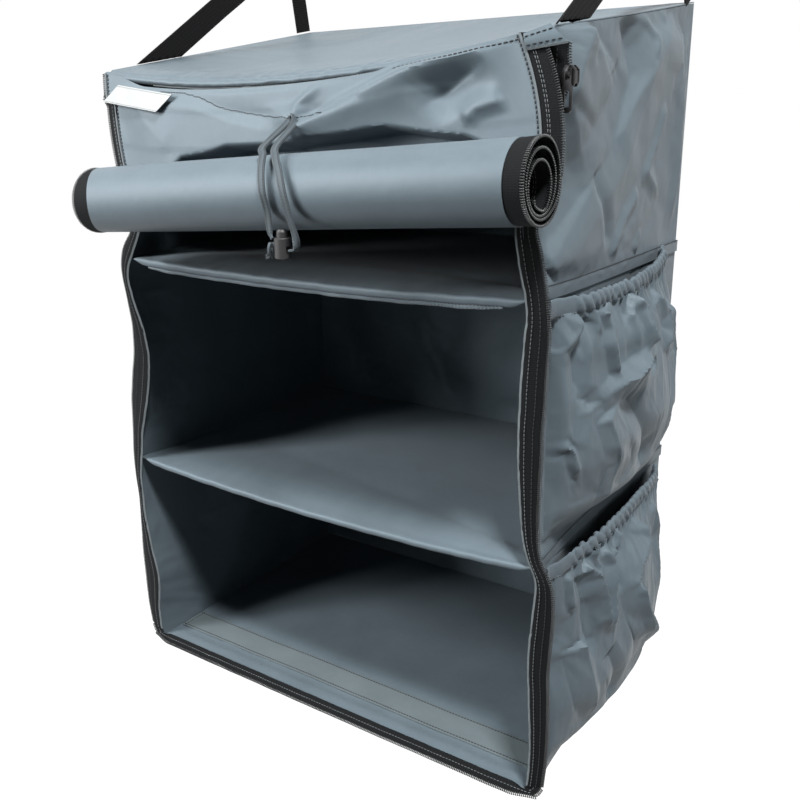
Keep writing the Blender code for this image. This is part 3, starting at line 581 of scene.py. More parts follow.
def bandSections(path, wide, width, thick, crown=0.0):
    # Sections of a flat band: width along "wide" at each point, with slightly raised edges
    path = np.asarray(path, float)
    along = unit(np.gradient(path, axis=0))
    wide = np.broadcast_to(np.asarray(wide, float), path.shape)
    wide = unit(wide - along * np.sum(wide * along, axis=1, keepdims=True))
    thin = np.cross(along, wide)
    steps = [k / 3 - 1 for k in range(7)]
    outline = [(s, 0.5 + crown * s * s) for s in steps] + [(-s, -0.5 + crown * s * s) for s in steps]
    width = np.broadcast_to(width, (len(path),))
    return np.stack([path + wide * (s * width[:, None] / 2) + thin * (h * thick) for s, h in outline], 1)


def dress(item, body, nodes=(), joint=None):
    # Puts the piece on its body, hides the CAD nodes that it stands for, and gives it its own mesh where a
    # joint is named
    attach(item, body)
    if nodes:
        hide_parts(*nodes)
    if joint:
        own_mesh(item)
    return item


# Creases: soft-sided ridges along lines chosen on the photograph
def creaseField(a, b, lines):
    found = np.zeros(np.broadcast(a, b).shape)
    for line in lines:
        points = np.array(line["points"], float)
        best = np.full(found.shape, 9.0)
        side = np.zeros(found.shape)
        share = np.zeros(found.shape)
        lengths = np.linalg.norm(np.diff(points, axis=0), axis=1)
        done = 0.0
        for (a0, b0), (a1, b1), length in zip(points, points[1:], lengths):
            t = np.clip(((a - a0) * (a1 - a0) + (b - b0) * (b1 - b0)) / length ** 2, 0, 1)
            away = np.hypot(a - a0 - t * (a1 - a0), b - b0 - t * (b1 - b0))
            nearer = away < best
            best = np.where(nearer, away, best)
            turn = (a1 - a0) * (b - b0) - (b1 - b0) * (a - a0)
            side = np.where(nearer, np.sign(turn), side)
            share = np.where(nearer, (done + t * length) / lengths.sum(), share)
            done += length
        width = np.where(side > 0, line["left"], line["right"])
        ends = smoothStep(share / line["fadeIn"] + 0.02) * smoothStep((1 - share) / line["fadeOut"] + 0.02)
        found += line["height"] * np.clip(1 - best / width, 0, 1) ** line["power"] * ends
    return found


def fold(height, left, right, *points, power=1.5, fadeIn=0.12, fadeOut=0.2):
    # A crease with its height, and its reach to the left and the right of the way that its points run
    return {"points": points, "height": height, "left": left, "right": right, "power": power,
            "fadeIn": fadeIn,
            "fadeOut": fadeOut}


# Which body a tier hangs from, and the fold that flattens it
tierFold = {"upper": ("top", "tier_1_fold"), "middle": ("shelf_1", "tier_2_fold"),
            "lower": ("shelf_2", "tier_3_fold")}

# The opening's seams are drawn in and out by the roll and the shelves: z, then how far from the middle the
# seam and the tape's outer edge run
seamX = 0.2440
openingLines = {
    "left": (
        (0.000, 0.2500, 0.2700), (0.015, 0.2530, 0.2730), (0.040, 0.2540, 0.2755), (0.061, 0.2510, 0.2765),
        (0.081, 0.2485, 0.2765), (0.100, 0.2500, 0.2765), (0.121, 0.2545, 0.2755), (0.147, 0.2575, 0.2735),
        (0.168, 0.2598, 0.2718), (0.190, 0.2602, 0.2715), (0.213, 0.2602, 0.2725), (0.235, 0.2575, 0.2735),
        (0.250, 0.2540, 0.2725), (0.273, 0.2510, 0.2700), (0.311, 0.2387, 0.2680), (0.341, 0.2314, 0.2625),
        (0.370, 0.2278, 0.2560), (0.399, 0.2321, 0.2535), (0.429, 0.2420, 0.2565), (0.454, 0.2472, 0.2600),
        (0.469, 0.2445, 0.2605), (0.487, 0.2344, 0.2560), (0.506, 0.2240, 0.2400), (0.530, 0.2175, 0.2340),
        (0.560, 0.2170, 0.2325), (0.578, 0.2185, 0.2330), (0.593, 0.2215, 0.2355), (0.611, 0.2260, 0.2400),
        (0.629, 0.2320, 0.2445), (0.640, 0.2360, 0.2455), (0.656, 0.2405, 0.2455), (0.668, 0.2440, 0.2455)),
    "right": (
        (0.000, 0.2500, 0.2640), (0.020, 0.2545, 0.2665), (0.055, 0.2555, 0.2690), (0.096, 0.2534, 0.2690),
        (0.136, 0.2510, 0.2672), (0.160, 0.2512, 0.2686), (0.197, 0.2535, 0.2700), (0.219, 0.2558, 0.2692),
        (0.233, 0.2556, 0.2655), (0.246, 0.2480, 0.2560), (0.265, 0.2412, 0.2520), (0.286, 0.2385, 0.2512),
        (0.305, 0.2369, 0.2516), (0.340, 0.2345, 0.2527), (0.371, 0.2340, 0.2527), (0.400, 0.2352, 0.2548),
        (0.423, 0.2360, 0.2549), (0.448, 0.2378, 0.2566), (0.464, 0.2398, 0.2555), (0.483, 0.2370, 0.2525),
        (0.500, 0.2320, 0.2496), (0.518, 0.2285, 0.2455), (0.534, 0.2260, 0.2400), (0.560, 0.2290, 0.2470),
        (0.600, 0.2350, 0.2560), (0.640, 0.2400, 0.2605), (0.6705, 0.2440, 0.2645)),
}


def openingAt(side, z, column=1):
    # The seam's place, or with column 2 the tape edge's, read as a rounded line
    rows, shifts = np.array(openingLines[side]), np.linspace(-0.006, 0.006, 5)
    return sum(np.interp(z + shift, rows[:, 0], rows[:, column]) for shift in shifts) / len(shifts)


def frontBow(side, y, z):
    # How far a wall leans in near the opening; where it leans out this is below nothing
    return (seamX - openingAt(side, z)) * np.exp(-(np.maximum(y - frontY, 0) / wallPlan["bowDepth"]) ** 1.3)


def leaningAt(side, y, z):
    # How far from the middle a wall stands where it isn't drawn in
    return halfWide + np.maximum(-frontBow(side, y, z), 0)


# Side walls: each tier hangs between two levels, slack enough to buckle
wallPlan = {"columns": 110, "rows": 76, "slack": 0.0035, "bowDepth": 0.045, "splitZ": 0.6655, "gableRows": 15,
            "gable": 0.033, "wave": 0.0016, "sharpness": 1.3}
backPlan = {"columns": 110, "rows": 56, "slack": 0.0025, "wave": 0.0022}
topPlan = {"columns": 130, "rows": 84, "slack": 0.0018, "wave": 0.0022, "frontY": -0.1612, "dip": 0.0040,
           "pucker": 0.0030, "flat": (2 * halfWide, 0.34)}
wallFold = {"power": wallPlan["sharpness"], "fadeIn": 0.001, "fadeOut": 0.001}
upperFolds = {
    "left": [fold(0.0080, 0.075, 0.040, (0.125, 0.705), (0.060, 0.655), (-0.005, 0.610), (-0.075, 0.565),
                  (-0.130, 0.535), **wallFold)],
    "right": [fold(0.0095, 0.085, 0.040, (0.1105, 0.7171), (0.0945, 0.7014), (0.0547, 0.6677),
                   (0.0166, 0.6369),
                   (-0.0154, 0.6062), (-0.0509, 0.5825), (-0.1030, 0.5399), (-0.1450, 0.5050), **wallFold)],
    "back": [fold(0.0070, 0.060, 0.045, (-0.235, 0.715), (-0.140, 0.640), (-0.060, 0.600), **wallFold),
             fold(0.0065, 0.045, 0.060, (0.235, 0.710), (0.130, 0.630), (0.050, 0.590), **wallFold)],
}
# The wedge of folds at the right corner, which the left wall doesn't have, then the smaller creases of both
cornerFolds = [
    fold(0.0145, 0.110, 0.034, (-0.1050, 0.6960), (-0.1088, 0.6881), (-0.1154, 0.6758), (-0.1291, 0.6574),
         (-0.1388, 0.6308), (-0.1541, 0.6165), power=1.15, fadeIn=0.2, fadeOut=0.35),
    fold(-0.0080, 0.030, 0.060, (-0.0347, 0.6972), (-0.0079, 0.6872), (0.0027, 0.6729), (0.0084, 0.6524),
         (-0.0093, 0.6244), (-0.0355, 0.5901), (-0.0863, 0.5585), (-0.1302, 0.5289), (-0.1560, 0.5130),
         power=1.2),
    fold(-0.0022, 0.012, 0.010, (-0.0960, 0.6960), (-0.0940, 0.6760), (-0.1000, 0.6560)),
]
smallFolds = [
    fold(0.0034, 0.010, 0.008, (0.0167, 0.705), (0.0506, 0.685), (0.0437, 0.666)),
    fold(0.0028, 0.009, 0.009, (0.0699, 0.712), (0.0829, 0.7025)),
    fold(0.0050, 0.020, 0.014, (0.0977, 0.6302), (0.0790, 0.5934), (0.0542, 0.5652), (0.1012, 0.5364)),
    fold(0.0046, 0.014, 0.014, (0.0368, 0.5494), (0.0054, 0.5291), (-0.0260, 0.4921)),
    fold(0.0034, 0.010, 0.012, (0.0522, 0.5087), (0.0389, 0.4909)),
    fold(-0.0044, 0.016, 0.012, (-0.0720, 0.5760), (-0.0622, 0.5567), (-0.0389, 0.5261), (-0.0330, 0.5020)),
    fold(0.0036, 0.010, 0.018, (0.150, 0.700), (0.146, 0.640), (0.150, 0.560), (0.147, 0.500)),
]


def wallGrid(side, sign, low, highAt, rows):
    y = np.linspace(frontY, backY, wallPlan["columns"])[None, :]
    v = np.linspace(0, 1, rows)[:, None]
    z = low + (highAt(y) - low) * v
    x = sign * (halfWide - cloth["inset"] - frontBow(side, y, z))
    return np.stack(np.broadcast_arrays(x, y, z), -1)


def foldOut(points, along, folds, small=()):
    # How far the folds stand out over a grid, fading away at its edges
    rows, columns = points.shape[:2]
    u, v = np.meshgrid(np.linspace(0, 1, columns), np.linspace(0, 1, rows))
    edge = np.minimum(np.minimum(u, 1 - u), np.minimum(v, 1 - v))
    a, b = points[..., along], points[..., 2]
    large = creaseField(a, b, folds) * smoothStep(edge / 0.12)
    return large + creaseField(a, b, small) * smoothStep(edge / 0.04)


wallPanels = {}
for side, sign in sides.items():
    for tier, (low, high) in tiers.items():
        if tier == "upper":
            # A level part up to the opening's top, and the gable above it
            rows, gableRows = wallPlan["rows"], wallPlan["gableRows"]
            lower = wallGrid(side, sign, low, lambda y: wallPlan["splitZ"], rows + 1 - gableRows)
            upper = wallGrid(side, sign, wallPlan["splitZ"],
                             lambda y: topLine(y) + topLift(sign * halfWide, y) - cloth["underTop"],
                             gableRows)
            points = np.concatenate((lower, upper[1:]))
            flat = (backY - frontY, 0.245)
        else:
            points = wallGrid(side, sign, low, lambda y: high, wallPlan["rows"])
            flat = (backY - frontY, high - low)
        # A slow wave says which way the cloth buckles
        seed = {"upper": 1, "middle": 2, "lower": 3}[tier] + (0 if sign > 0 else 10)
        y, z = points[..., 1], points[..., 2]
        wave = wallPlan["wave"] * middleShare(*points.shape[:2])
        points[..., 0] += wave * wander(seed, 22, y + z * 0.6, z)
        if tier == "upper":
            small = cornerFolds + smallFolds
            if side == "left":
                small = [{**line, "height": 0.7 * line["height"]} for line in smallFolds]
            points[..., 0] += sign * foldOut(points, 1, upperFolds[side], small)
        wallPanels[side, tier] = newPanel(f"{side}Wall{tier.title()}", points, flat, wallPlan["slack"])

# Back walls
backTopZ = topLine(backY) - cloth["underBack"]
backPanels = {}
for tier, (low, high) in tiers.items():
    highZ = backTopZ if high is None else high
    x, z = np.meshgrid(np.linspace(-1, 1, backPlan["columns"]) * (halfWide - 0.0006),
                       np.linspace(low, highZ, backPlan["rows"]))
    seed = {"upper": 21, "middle": 22, "lower": 23}[tier]
    wave = backPlan["wave"] * middleShare(backPlan["rows"], backPlan["columns"])
    y = backY - cloth["inset"] + wave * wander(seed, 14, x + z * 0.5, z)
    points = np.stack((x, y, z), -1)
    if tier == "upper":
        points[..., 1] -= foldOut(points, 0, upperFolds["back"])
    flat = (2 * halfWide, highZ - low)
    backPanels[tier] = newPanel(f"backWall{tier.title()}", points, flat, backPlan["slack"])

# Top panel, which dips into the hem casing at its front and is puckered there
x, y = np.meshgrid(np.linspace(-0.9988, 0.9988, topPlan["columns"]) * halfWide,
                   np.linspace(topPlan["frontY"], backY - 0.0003, topPlan["rows"]))
wave = topPlan["wave"] * middleShare(topPlan["rows"], topPlan["columns"]) * wander(31, 12, x, y)
z = topSurface(x, y) - 0.0008 + wave - topPlan["dip"] * smoothStep((-0.1585 - y) / 0.0030)
pucker = np.array([0.45 - abs(noise.noise((place * 62, 1.2, 1.5))) for place in x[0]])[None, :]
slack = smoothStep((-0.134 - y) / 0.012) * smoothStep((0.135 - x) / 0.05) * smoothStep((x + 0.200) / 0.03)
points = np.stack((x, y, z + topPlan["pucker"] * pucker * slack), -1)
topPanel = newPanel("topCloth", points, topPlan["flat"], topPlan["slack"])

# Side pockets: drawn in by an elastic hem, which throws folds down the cloth. The lines are (y, z).
pocketPlan = {
    "frontY": -0.161, "billowFrom": -0.150, "backY": 0.130, "columns": 230, "rows": 96, "flat": (0.33, 0.224),
    "billow": (0.0, 0.034, 0.045, 0.041, 0.034, 0.022), "gathers": 24, "gatherDepth": 0.0026, "slack": 0.006,
    "stitched": 0.22, "pleats": 0.0030, "folds": 1.3, "clear": 0.0007,
    "middle": {"low": 0.2480, "rim": (0.4650, 0.4650, 0.4655, 0.4670, 0.4700, 0.4770), "backPull": 0.022},
    "lower": {"low": 0.0060, "rim": (0.2280, 0.2300, 0.2330, 0.2350, 0.2330, 0.2240), "backPull": -0.008},
}


def pocketFold(height, back, front, *points, fadeIn=0.05, fadeOut=0.25):
    # A fold that runs down the pocket, with its reach towards the back and the front
    return fold(height, back, front, *points, power=1.3, fadeIn=fadeIn, fadeOut=fadeOut)


pocketFolds = {
    "middle": [
        pocketFold(0.0058, 0.012, 0.024, (-0.1255, 0.463), (-0.1286, 0.4513), (-0.1470, 0.434),
                   (-0.1480, 0.4206),
                   (-0.1465, 0.3900), (-0.1475, 0.3562), (-0.1480, 0.300)),
        pocketFold(-0.0050, 0.014, 0.010, (-0.1120, 0.458), (-0.1290, 0.430), (-0.1270, 0.385)),
        pocketFold(0.0040, 0.006, 0.006, (-0.1016, 0.4622), (-0.1016, 0.4467), (-0.0958, 0.4389),
                   fadeOut=0.5),
        pocketFold(0.0075, 0.016, 0.007, (-0.0943, 0.4619), (-0.0881, 0.4442), (-0.0903, 0.4309),
                   (-0.0851, 0.4097),
                   (-0.0790, 0.3961)),
        pocketFold(0.0120, 0.0075, 0.034, (-0.0393, 0.4629), (-0.0297, 0.4542), (-0.0294, 0.4377),
                   (-0.0164, 0.4129), fadeOut=0.22),
        pocketFold(0.0110, 0.030, 0.0110, (-0.0164, 0.4129), (-0.0520, 0.3985), (-0.0790, 0.3961),
                   (-0.1103, 0.3815), fadeIn=0.2, fadeOut=0.5),
        pocketFold(-0.0070, 0.009, 0.009, (-0.0199, 0.4060), (-0.0320, 0.3930), fadeIn=0.2),
        pocketFold(-0.0060, 0.008, 0.008, (0.0089, 0.3954), (-0.0103, 0.3880), fadeIn=0.3),
        pocketFold(0.0070, 0.005, 0.018, (0.0250, 0.4560), (0.0480, 0.4350), (0.0500, 0.4150),
                   (0.0300, 0.3960)),
        pocketFold(0.0042, 0.007, 0.007, (-0.1500, 0.3400), (-0.1440, 0.3500), (-0.1385, 0.3446),
                   (-0.1332, 0.3278),
                   (-0.1330, 0.3171), fadeIn=0.3),
        pocketFold(-0.0040, 0.014, 0.014, (-0.1330, 0.3905), (-0.1166, 0.3864), (-0.1144, 0.3770),
                   fadeIn=0.4),
        pocketFold(-0.0070, 0.022, 0.030, (-0.0620, 0.3900), (-0.0350, 0.3560), (0.0005, 0.3140),
                   (0.0080, 0.2730)),
        pocketFold(0.0050, 0.026, 0.014, (-0.1000, 0.3700), (-0.0800, 0.3200), (-0.0850, 0.2700)),
        pocketFold(0.0060, 0.012, 0.022, (0.0700, 0.4400), (0.0850, 0.3900), (0.0700, 0.3300),
                   (0.0850, 0.2700)),
    ],
    "lower": [
        pocketFold(0.0045, 0.010, 0.006, (-0.1305, 0.2227), (-0.1298, 0.2078), (-0.1288, 0.1847)),
        pocketFold(-0.0060, 0.016, 0.014, (-0.1120, 0.2150), (-0.1040, 0.1800), (-0.0980, 0.1200)),
        pocketFold(0.0085, 0.007, 0.018, (-0.1022, 0.2220), (-0.0888, 0.2079), (-0.0804, 0.1816),
                   (-0.0756, 0.1412)),
        pocketFold(0.0050, 0.006, 0.006, (-0.0859, 0.2320), (-0.0788, 0.2106), (-0.0830, 0.1933)),
        pocketFold(0.0070, 0.007, 0.010, (-0.0673, 0.2245), (-0.0579, 0.2082), (-0.0640, 0.1854),
                   (-0.0700, 0.1373)),
        pocketFold(0.0050, 0.006, 0.006, (-0.0348, 0.2309), (-0.0416, 0.2155), (-0.0547, 0.2092),
                   fadeOut=0.4),
        pocketFold(-0.0060, 0.010, 0.012, (-0.0350, 0.2150), (-0.0430, 0.1950), (-0.0500, 0.1700)),
        pocketFold(0.0110, 0.010, 0.024, (0.0161, 0.2255), (0.0161, 0.2058), (-0.0070, 0.1892),
                   (-0.0250, 0.1757),
                   (-0.0150, 0.1467), (0.0200, 0.0800)),
        pocketFold(0.0090, 0.008, 0.022, (-0.0150, 0.1780), (0.0082, 0.1302), (0.0480, 0.0850),
                   (0.0900, 0.0500)),
        pocketFold(-0.0050, 0.014, 0.018, (-0.0700, 0.1200), (-0.0500, 0.0800), (-0.0450, 0.0400)),
        pocketFold(0.0060, 0.014, 0.024, (-0.1150, 0.1500), (-0.1050, 0.1000), (-0.0900, 0.0500)),
        pocketFold(0.0060, 0.010, 0.020, (0.0750, 0.2200), (0.0900, 0.1800), (0.0800, 0.1300),
                   (0.0950, 0.0900)),
    ],
}


def billowAt(v):
    steps = np.array(pocketPlan["billow"])
    place = np.clip(v, 0, 1) * (len(steps) - 1)
    i = np.minimum(place.astype(int), len(steps) - 2)
    return steps[i] + (steps[i + 1] - steps[i]) * smoothStep(place - i)


pocketPanels = {}
for side, sign in sides.items():
    for tier in ("middle", "lower"):
        plan = pocketPlan[tier]
        u, v = np.meshgrid(np.linspace(0, 1, pocketPlan["columns"]), np.linspace(0, 1, pocketPlan["rows"]))
        seed = (41 if tier == "middle" else 51) + (0 if sign > 0 else 5)
        backEdge = pocketPlan["backY"] - plan["backPull"] * smoothStep((v - 0.72) / 0.28)
        y = pocketPlan["frontY"] + (backEdge - pocketPlan["frontY"]) * u
        rim = np.interp(u, np.linspace(0, 1, len(plan["rim"])), plan["rim"])
        z = plan["low"] + (rim - plan["low"]) * v
        across = np.clip((y - pocketPlan["billowFrom"]) / (backEdge - pocketPlan["billowFrom"]), 0, 1)
        arch = np.clip(np.sin(math.pi * across), 0, 1) ** 0.5
        ruching = np.cos(math.tau * (pocketPlan["gathers"] * u + 0.35 * wander(seed, 3.0, u, v * 0.5)))
        # The gathers start behind the hem's flat tab
        pastTab = smoothStep((u - 0.12) / 0.03)
        gathered = pocketPlan["gatherDepth"] * np.exp(-(1 - v) / 0.07) * ruching * pastTab
        pleat = 1 - 2.4 * np.abs(wander(seed + 2, 1.0, u * 17 + (1 - v) * 1.6, v * 1.3))
        folds = pocketPlan["folds"] * creaseField(y, z, pocketFolds[tier])
        folds += 0.0012 * wander(seed, 26, y, z * 0.6)
        folds += pocketPlan["pleats"] * pleat * np.exp(-(1 - v) / 0.24) * pastTab
        out = billowAt(v) * arch + (gathered + folds * smoothStep(v / 0.08)) * smoothStep(arch / 0.35)
        x = sign * (leaningAt(side, y, z) + np.maximum(0.0008 + out, pocketPlan["clear"]))
        flat = (pocketPlan["flat"][0], rim[0, 0] - plan["low"])
        pocketPanels[side, tier] = newPanel(f"{side}Pocket{tier.title()}", np.stack((x, y, z), -1), flat,
                                            pocketPlan["slack"])
print("panels drawn")

settlePanels()
print("cloth settled")
# Pockets stay outside the walls, and the walls behind them flat enough to clear them
for (side, tier), pocket in pocketPanels.items():
    sign = sides[side]
    x, y, z = np.moveaxis(pocket["points"], -1, 0)
    pocket["points"][..., 0] = sign * np.maximum(sign * x, leaningAt(side, y, z) + pocketPlan["clear"])
    wall = wallPanels[side, tier]
    x, y, z = np.moveaxis(wall["points"], -1, 0)
    wall["points"][..., 0] = sign * np.minimum(sign * x, leaningAt(side, y, z) - 0.0003)

# Walls as pieces
for side, sign in sides.items():
    for tier, (low, high) in tiers.items():
        body, joint = tierFold[tier]
        panel = wallPanels[side, tier]
        name, points, uv = panel["name"], panel["points"], panel["uv"]
        if tier == "upper":
            splitRow = wallPlan["rows"] - wallPlan["gableRows"]
            gable = dress(clothPiece(f"{side}Gable", points[splitRow:], uv[splitRow:], fabric), body)
            points, uv, high = points[:splitRow + 1], uv[:splitRow + 1], wallPlan["splitZ"]
        wall = clothPiece(name, points, uv, fabric)
        dress(wall, body, [f"{side}_wall_{tier}"], joint)
for tier, (low, high) in tiers.items():
    body, joint = tierFold[tier]
    high = backTopZ if high is None else high
    panel = backPanels[tier]
    wall = clothPiece(panel["name"], panel["points"], panel["uv"], fabric)
    dress(wall, body, [f"back_wall_{tier}"], joint)
topCloth = clothPiece(topPanel["name"], topPanel["points"], topPanel["uv"], fabric)
dress(topCloth, "top", ["top_panel"])
print("walls and top")

# Shelves: one cloth sleeve each, drawn round the board, with a soft front that droops between the walls
shelfPlan = {
    "shelf_1": {"level": levelZ["shelf1"], "droop": 0.0064, "under": 0.0058, "flange": 0.0045,
                "crease": ((-0.248, -0.098), (-0.21, -0.092), (-0.128, -0.084), (-0.028, -0.085),
                           (0.09, -0.098),
                           (0.187, -0.1175), (0.248, -0.128))},
    "shelf_2": {"level": levelZ["shelf2"], "droop": 0.0098, "under": 0.0050, "flange": 0.0,
                "crease": ((-0.248, -0.070), (-0.173, -0.060), (-0.043, -0.082), (0.098, -0.1125),
                           (0.203, -0.137),
                           (0.248, -0.142))},
}
# The row "under" of a section lies just below its front edge
sleeve = {"halfWide": 0.2486, "backY": 0.1638, "height": 0.0072, "noseY": -0.1656, "columns": 150,
          "under": 71,
          "flat": 0.496}


def shelfSection(x, plan):
    # (y, z) round the sleeve at one place across it: top, front edge, then underneath
    level, fall = plan["level"], plan["droop"] * (1 - (x / sleeve["halfWide"]) ** 2)
    creaseX, creaseY = zip(*plan["crease"])
    crease = float(np.interp(x, creaseX, creaseY))
    pinch = float(smoothStep((sleeve["halfWide"] - abs(x)) / 0.020))
    nose = sleeve["noseY"]
    drop = 0.0016 + 0.92 * fall
    points = []
    for t in np.linspace(0, 1, 40):
        y = sleeve["backY"] + (crease - sleeve["backY"]) * t
        wave = 0.0008 * noise.noise((x * 11, y * 13, level * 40)) * math.sin(math.pi * t)
        points.append((y, level - 0.0008 + wave - 0.0009 * float(smoothStep((t - 0.9) / 0.1))))
    for t in np.linspace(0.04, 1, 24):
        y = crease + (nose + 0.0022 - crease) * t
        swell = 0.0022 * math.sin(math.pi * min(t * 1.15, 1)) * pinch
        pucker = 0.0007 * noise.noise((x * 60, t * 2.2, level * 9)) * t * (1 + 2 * (1 - pinch))
        points.append((y, level - 0.0017 - (drop - 0.0009) * t ** 1.25 + swell + pucker))
    top = points[-1][1]
    thick = 0.0012 + plan["under"] * pinch
    bottom = top - thick
    for angle in np.linspace(75, -75, 9):
        a = math.radians(angle)
        points.append((nose + 0.0022 - 0.0022 * math.cos(a), (top + bottom) / 2 + thick / 2 * math.sin(a)))
    back = level - sleeve["height"] + 0.0006
    for t in np.linspace(0.05, 1, 20):
        y = nose + 0.0022 + (-0.100 - nose - 0.0022) * t
        ripple = 0.0008 * noise.noise((x * 45, t * 3, 5 + level)) * (1 - t)
        points.append((y, bottom + (back - bottom) * float(smoothStep(t)) + ripple))
    for t in np.linspace(0.06, 1, 16):
        points.append((-0.100 + (sleeve["backY"] + 0.100) * t, back))
    return points


def shelfPiece(name, plan, replaced):
    xs = np.linspace(-sleeve["halfWide"], sleeve["halfWide"], sleeve["columns"])
    points = np.array([[(x, y, z) for y, z in shelfSection(x, plan)] for x in xs]).transpose(1, 0, 2)
    # Its front ends reach the seams of the opening
    ends = 0.0035 + np.where(points[..., 0] < 0, *(openingAt(side, plan["level"]) for side in sides))
    points[..., 0] *= 1 + smoothStep((-0.105 - points[..., 1]) / 0.045) * (ends / sleeve["halfWide"] - 1)
    lengths = runLengths(points[:, sleeve["columns"] // 2])
    uv = np.stack(np.meshgrid(xs - xs[0], lengths), -1)
    items = [clothPiece(name, points, uv, fabric)]
    inner = slice(8, -8)
    if plan["flange"]:
        # The seam allowance under the front edge: a ruffled strip with two rows of stitches
        rows = []
        low = points[sleeve["under"], inner]
        for t in np.linspace(0, 1, 6):
            row = low.copy()
            ruffle = wander(71, 55, low[:, 0], low[:, 1] + 0.3)
            fade = smoothStep((0.235 - np.abs(low[:, 0])) / 0.05)
            row[:, 2] -= plan["flange"] * t * (0.35 + 0.65 * fade)
            row[:, 1] += 0.0006 - 0.0011 * t * (ruffle + 0.4)
            rows.append(row)
        rows = np.array(rows)
        items.append(clothPiece("flange", rows, uv[:6, inner], fabric, 0.0012))
        for row, thread in ((1, darkThread), (4, paleThread)):
            items.append(stitchRow(rows[row] + (0, -0.0008, 0), (0.0, -1.0, 0.2), thread, radius=0.0004))
    else:
        items.append(stitchRow(points[sleeve["under"] + 5, inner] - (0, 0, 0.0006), (0.0, -0.4, -1.0),
                               darkThread))
    joined = joinPieces(name, items)
    dress(joined, plan["body"], replaced)


for shelf, plan in shelfPlan.items():
    plan["body"] = shelf
    shelfPiece(shelf.replace("_", "") + "Cloth", plan, (f"{shelf}_sleeve", f"{shelf}_front_lip"))

# Where the tiers are sewn together a puckered strip runs round the outside
seamPlan = {"low": -0.0050, "high": 0.0064, "out": 0.0011, "rows": 7, "columns": 420, "pucker": 0.0009}
seamWide = seamPlan["high"] - seamPlan["low"]
for shelf, plan in shelfPlan.items():
    edgeX, edgeY = halfWide + seamPlan["out"], backY + seamPlan["out"] - 0.0004
    corners = np.array([(-edgeX, frontY + 0.004), (-edgeX, edgeY), (edgeX, edgeY), (edgeX, frontY + 0.004)])
    runs = runLengths(corners)
    along = np.linspace(0, runs[-1], seamPlan["columns"])
    x, y = np.interp(along, runs, corners[:, 0]), np.interp(along, runs, corners[:, 1])
    v = np.linspace(0, 1, seamPlan["rows"])[:, None]
    waves = np.maximum(wander(77, 70, along, v * 0.02), 0)
    pucker = seamPlan["pucker"] * waves * np.sin(math.pi * v)
    atSide = np.abs(x) > edgeX - 0.0005
    x = x - np.sign(x) * atSide * np.where(x < 0, *(frontBow(side, y, plan["level"]) for side in sides))
    strip = plan["level"] + seamPlan["low"] + seamWide * v
    points = np.stack(np.broadcast_arrays(x + np.sign(x) * pucker * atSide, y + pucker * ~atSide, strip), -1)
    uv = np.stack(np.meshgrid(along, v[:, 0] * seamWide), -1)
    name = shelf.replace("_", "") + "Seam"
    items = [clothPiece(name, points[:, ::-1], uv, fabric)]
    outward = np.stack((np.where(atSide, np.sign(x), 0), ~atSide, 0 * x), -1)
    # The dark thread along the strip's top edge is drawn almost unbroken: real stitches, and painted shade
    # standing in for the fold's shadow line along the seam
    items.append(stitchRow(points[-1] + outward * 0.0005, outward, darkThread, length=0.0032))
    seamItem = dress(joinPieces(name, items), shelf)
print("shelves")


# Base: the same kind of sleeve, flat underneath, with a facing strip sewn across its soft front
basePlan = {"frontY": -0.1660, "stepY": -0.1030, "frontZ": 0.0058, "topZ": levelZ["base"] - 0.0006,
            "stripY": (-0.141, -0.106), "stripZ": 0.0069, "stripWide": 0.246}


def baseSection(x):
    points = []
    pinch = float(smoothStep((sleeve["halfWide"] - abs(x)) / 0.015))
    for t in np.linspace(0, 1, 46):
        y = sleeve["backY"] + (basePlan["stepY"] - sleeve["backY"]) * t
        wave = 0.0011 * noise.noise((x * 9, y * 12, 3.3)) * math.sin(math.pi * min(t * 1.1, 1))
        step = 0.0012 * float(smoothStep((t - 0.95) / 0.05))
        points.append((y, basePlan["topZ"] + min(wave, 0.0004) - step))
    for t in np.linspace(0.05, 1, 22):
        y = basePlan["stepY"] + (basePlan["frontY"] + 0.003 - basePlan["stepY"]) * t
        wave = 0.0006 * noise.noise((x * 28, t * 3, 8.1)) * math.sin(math.pi * t)
        swell = 0.0012 * math.exp(-((t - 0.86) / 0.09) ** 2) * pinch
        points.append((y, basePlan["frontZ"] - 0.0004 + wave + swell))
    for angle in np.linspace(80, -80, 9):
        a = math.radians(angle)
        middle = basePlan["frontZ"] / 2 + 0.0002
        points.append((basePlan["frontY"] + 0.0030 - 0.0030 * math.cos(a), middle + 0.0022 * math.sin(a)))
    for t in np.linspace(0.04, 1, 18):
        points.append((basePlan["frontY"] + 0.003 + (sleeve["backY"] - basePlan["frontY"] - 0.003) * t,
                       0.0006))
    return points


xs = np.linspace(-sleeve["halfWide"], sleeve["halfWide"], sleeve["columns"])
points = np.array([[(x, y, z) for y, z in baseSection(x)] for x in xs]).transpose(1, 0, 2)
lengths = runLengths(points[:, sleeve["columns"] // 2])
baseCloth = clothPiece("baseCloth", points, np.stack(np.meshgrid(xs - xs[0], lengths), -1), fabric)
dress(baseCloth, "base", ["base_sleeve"])

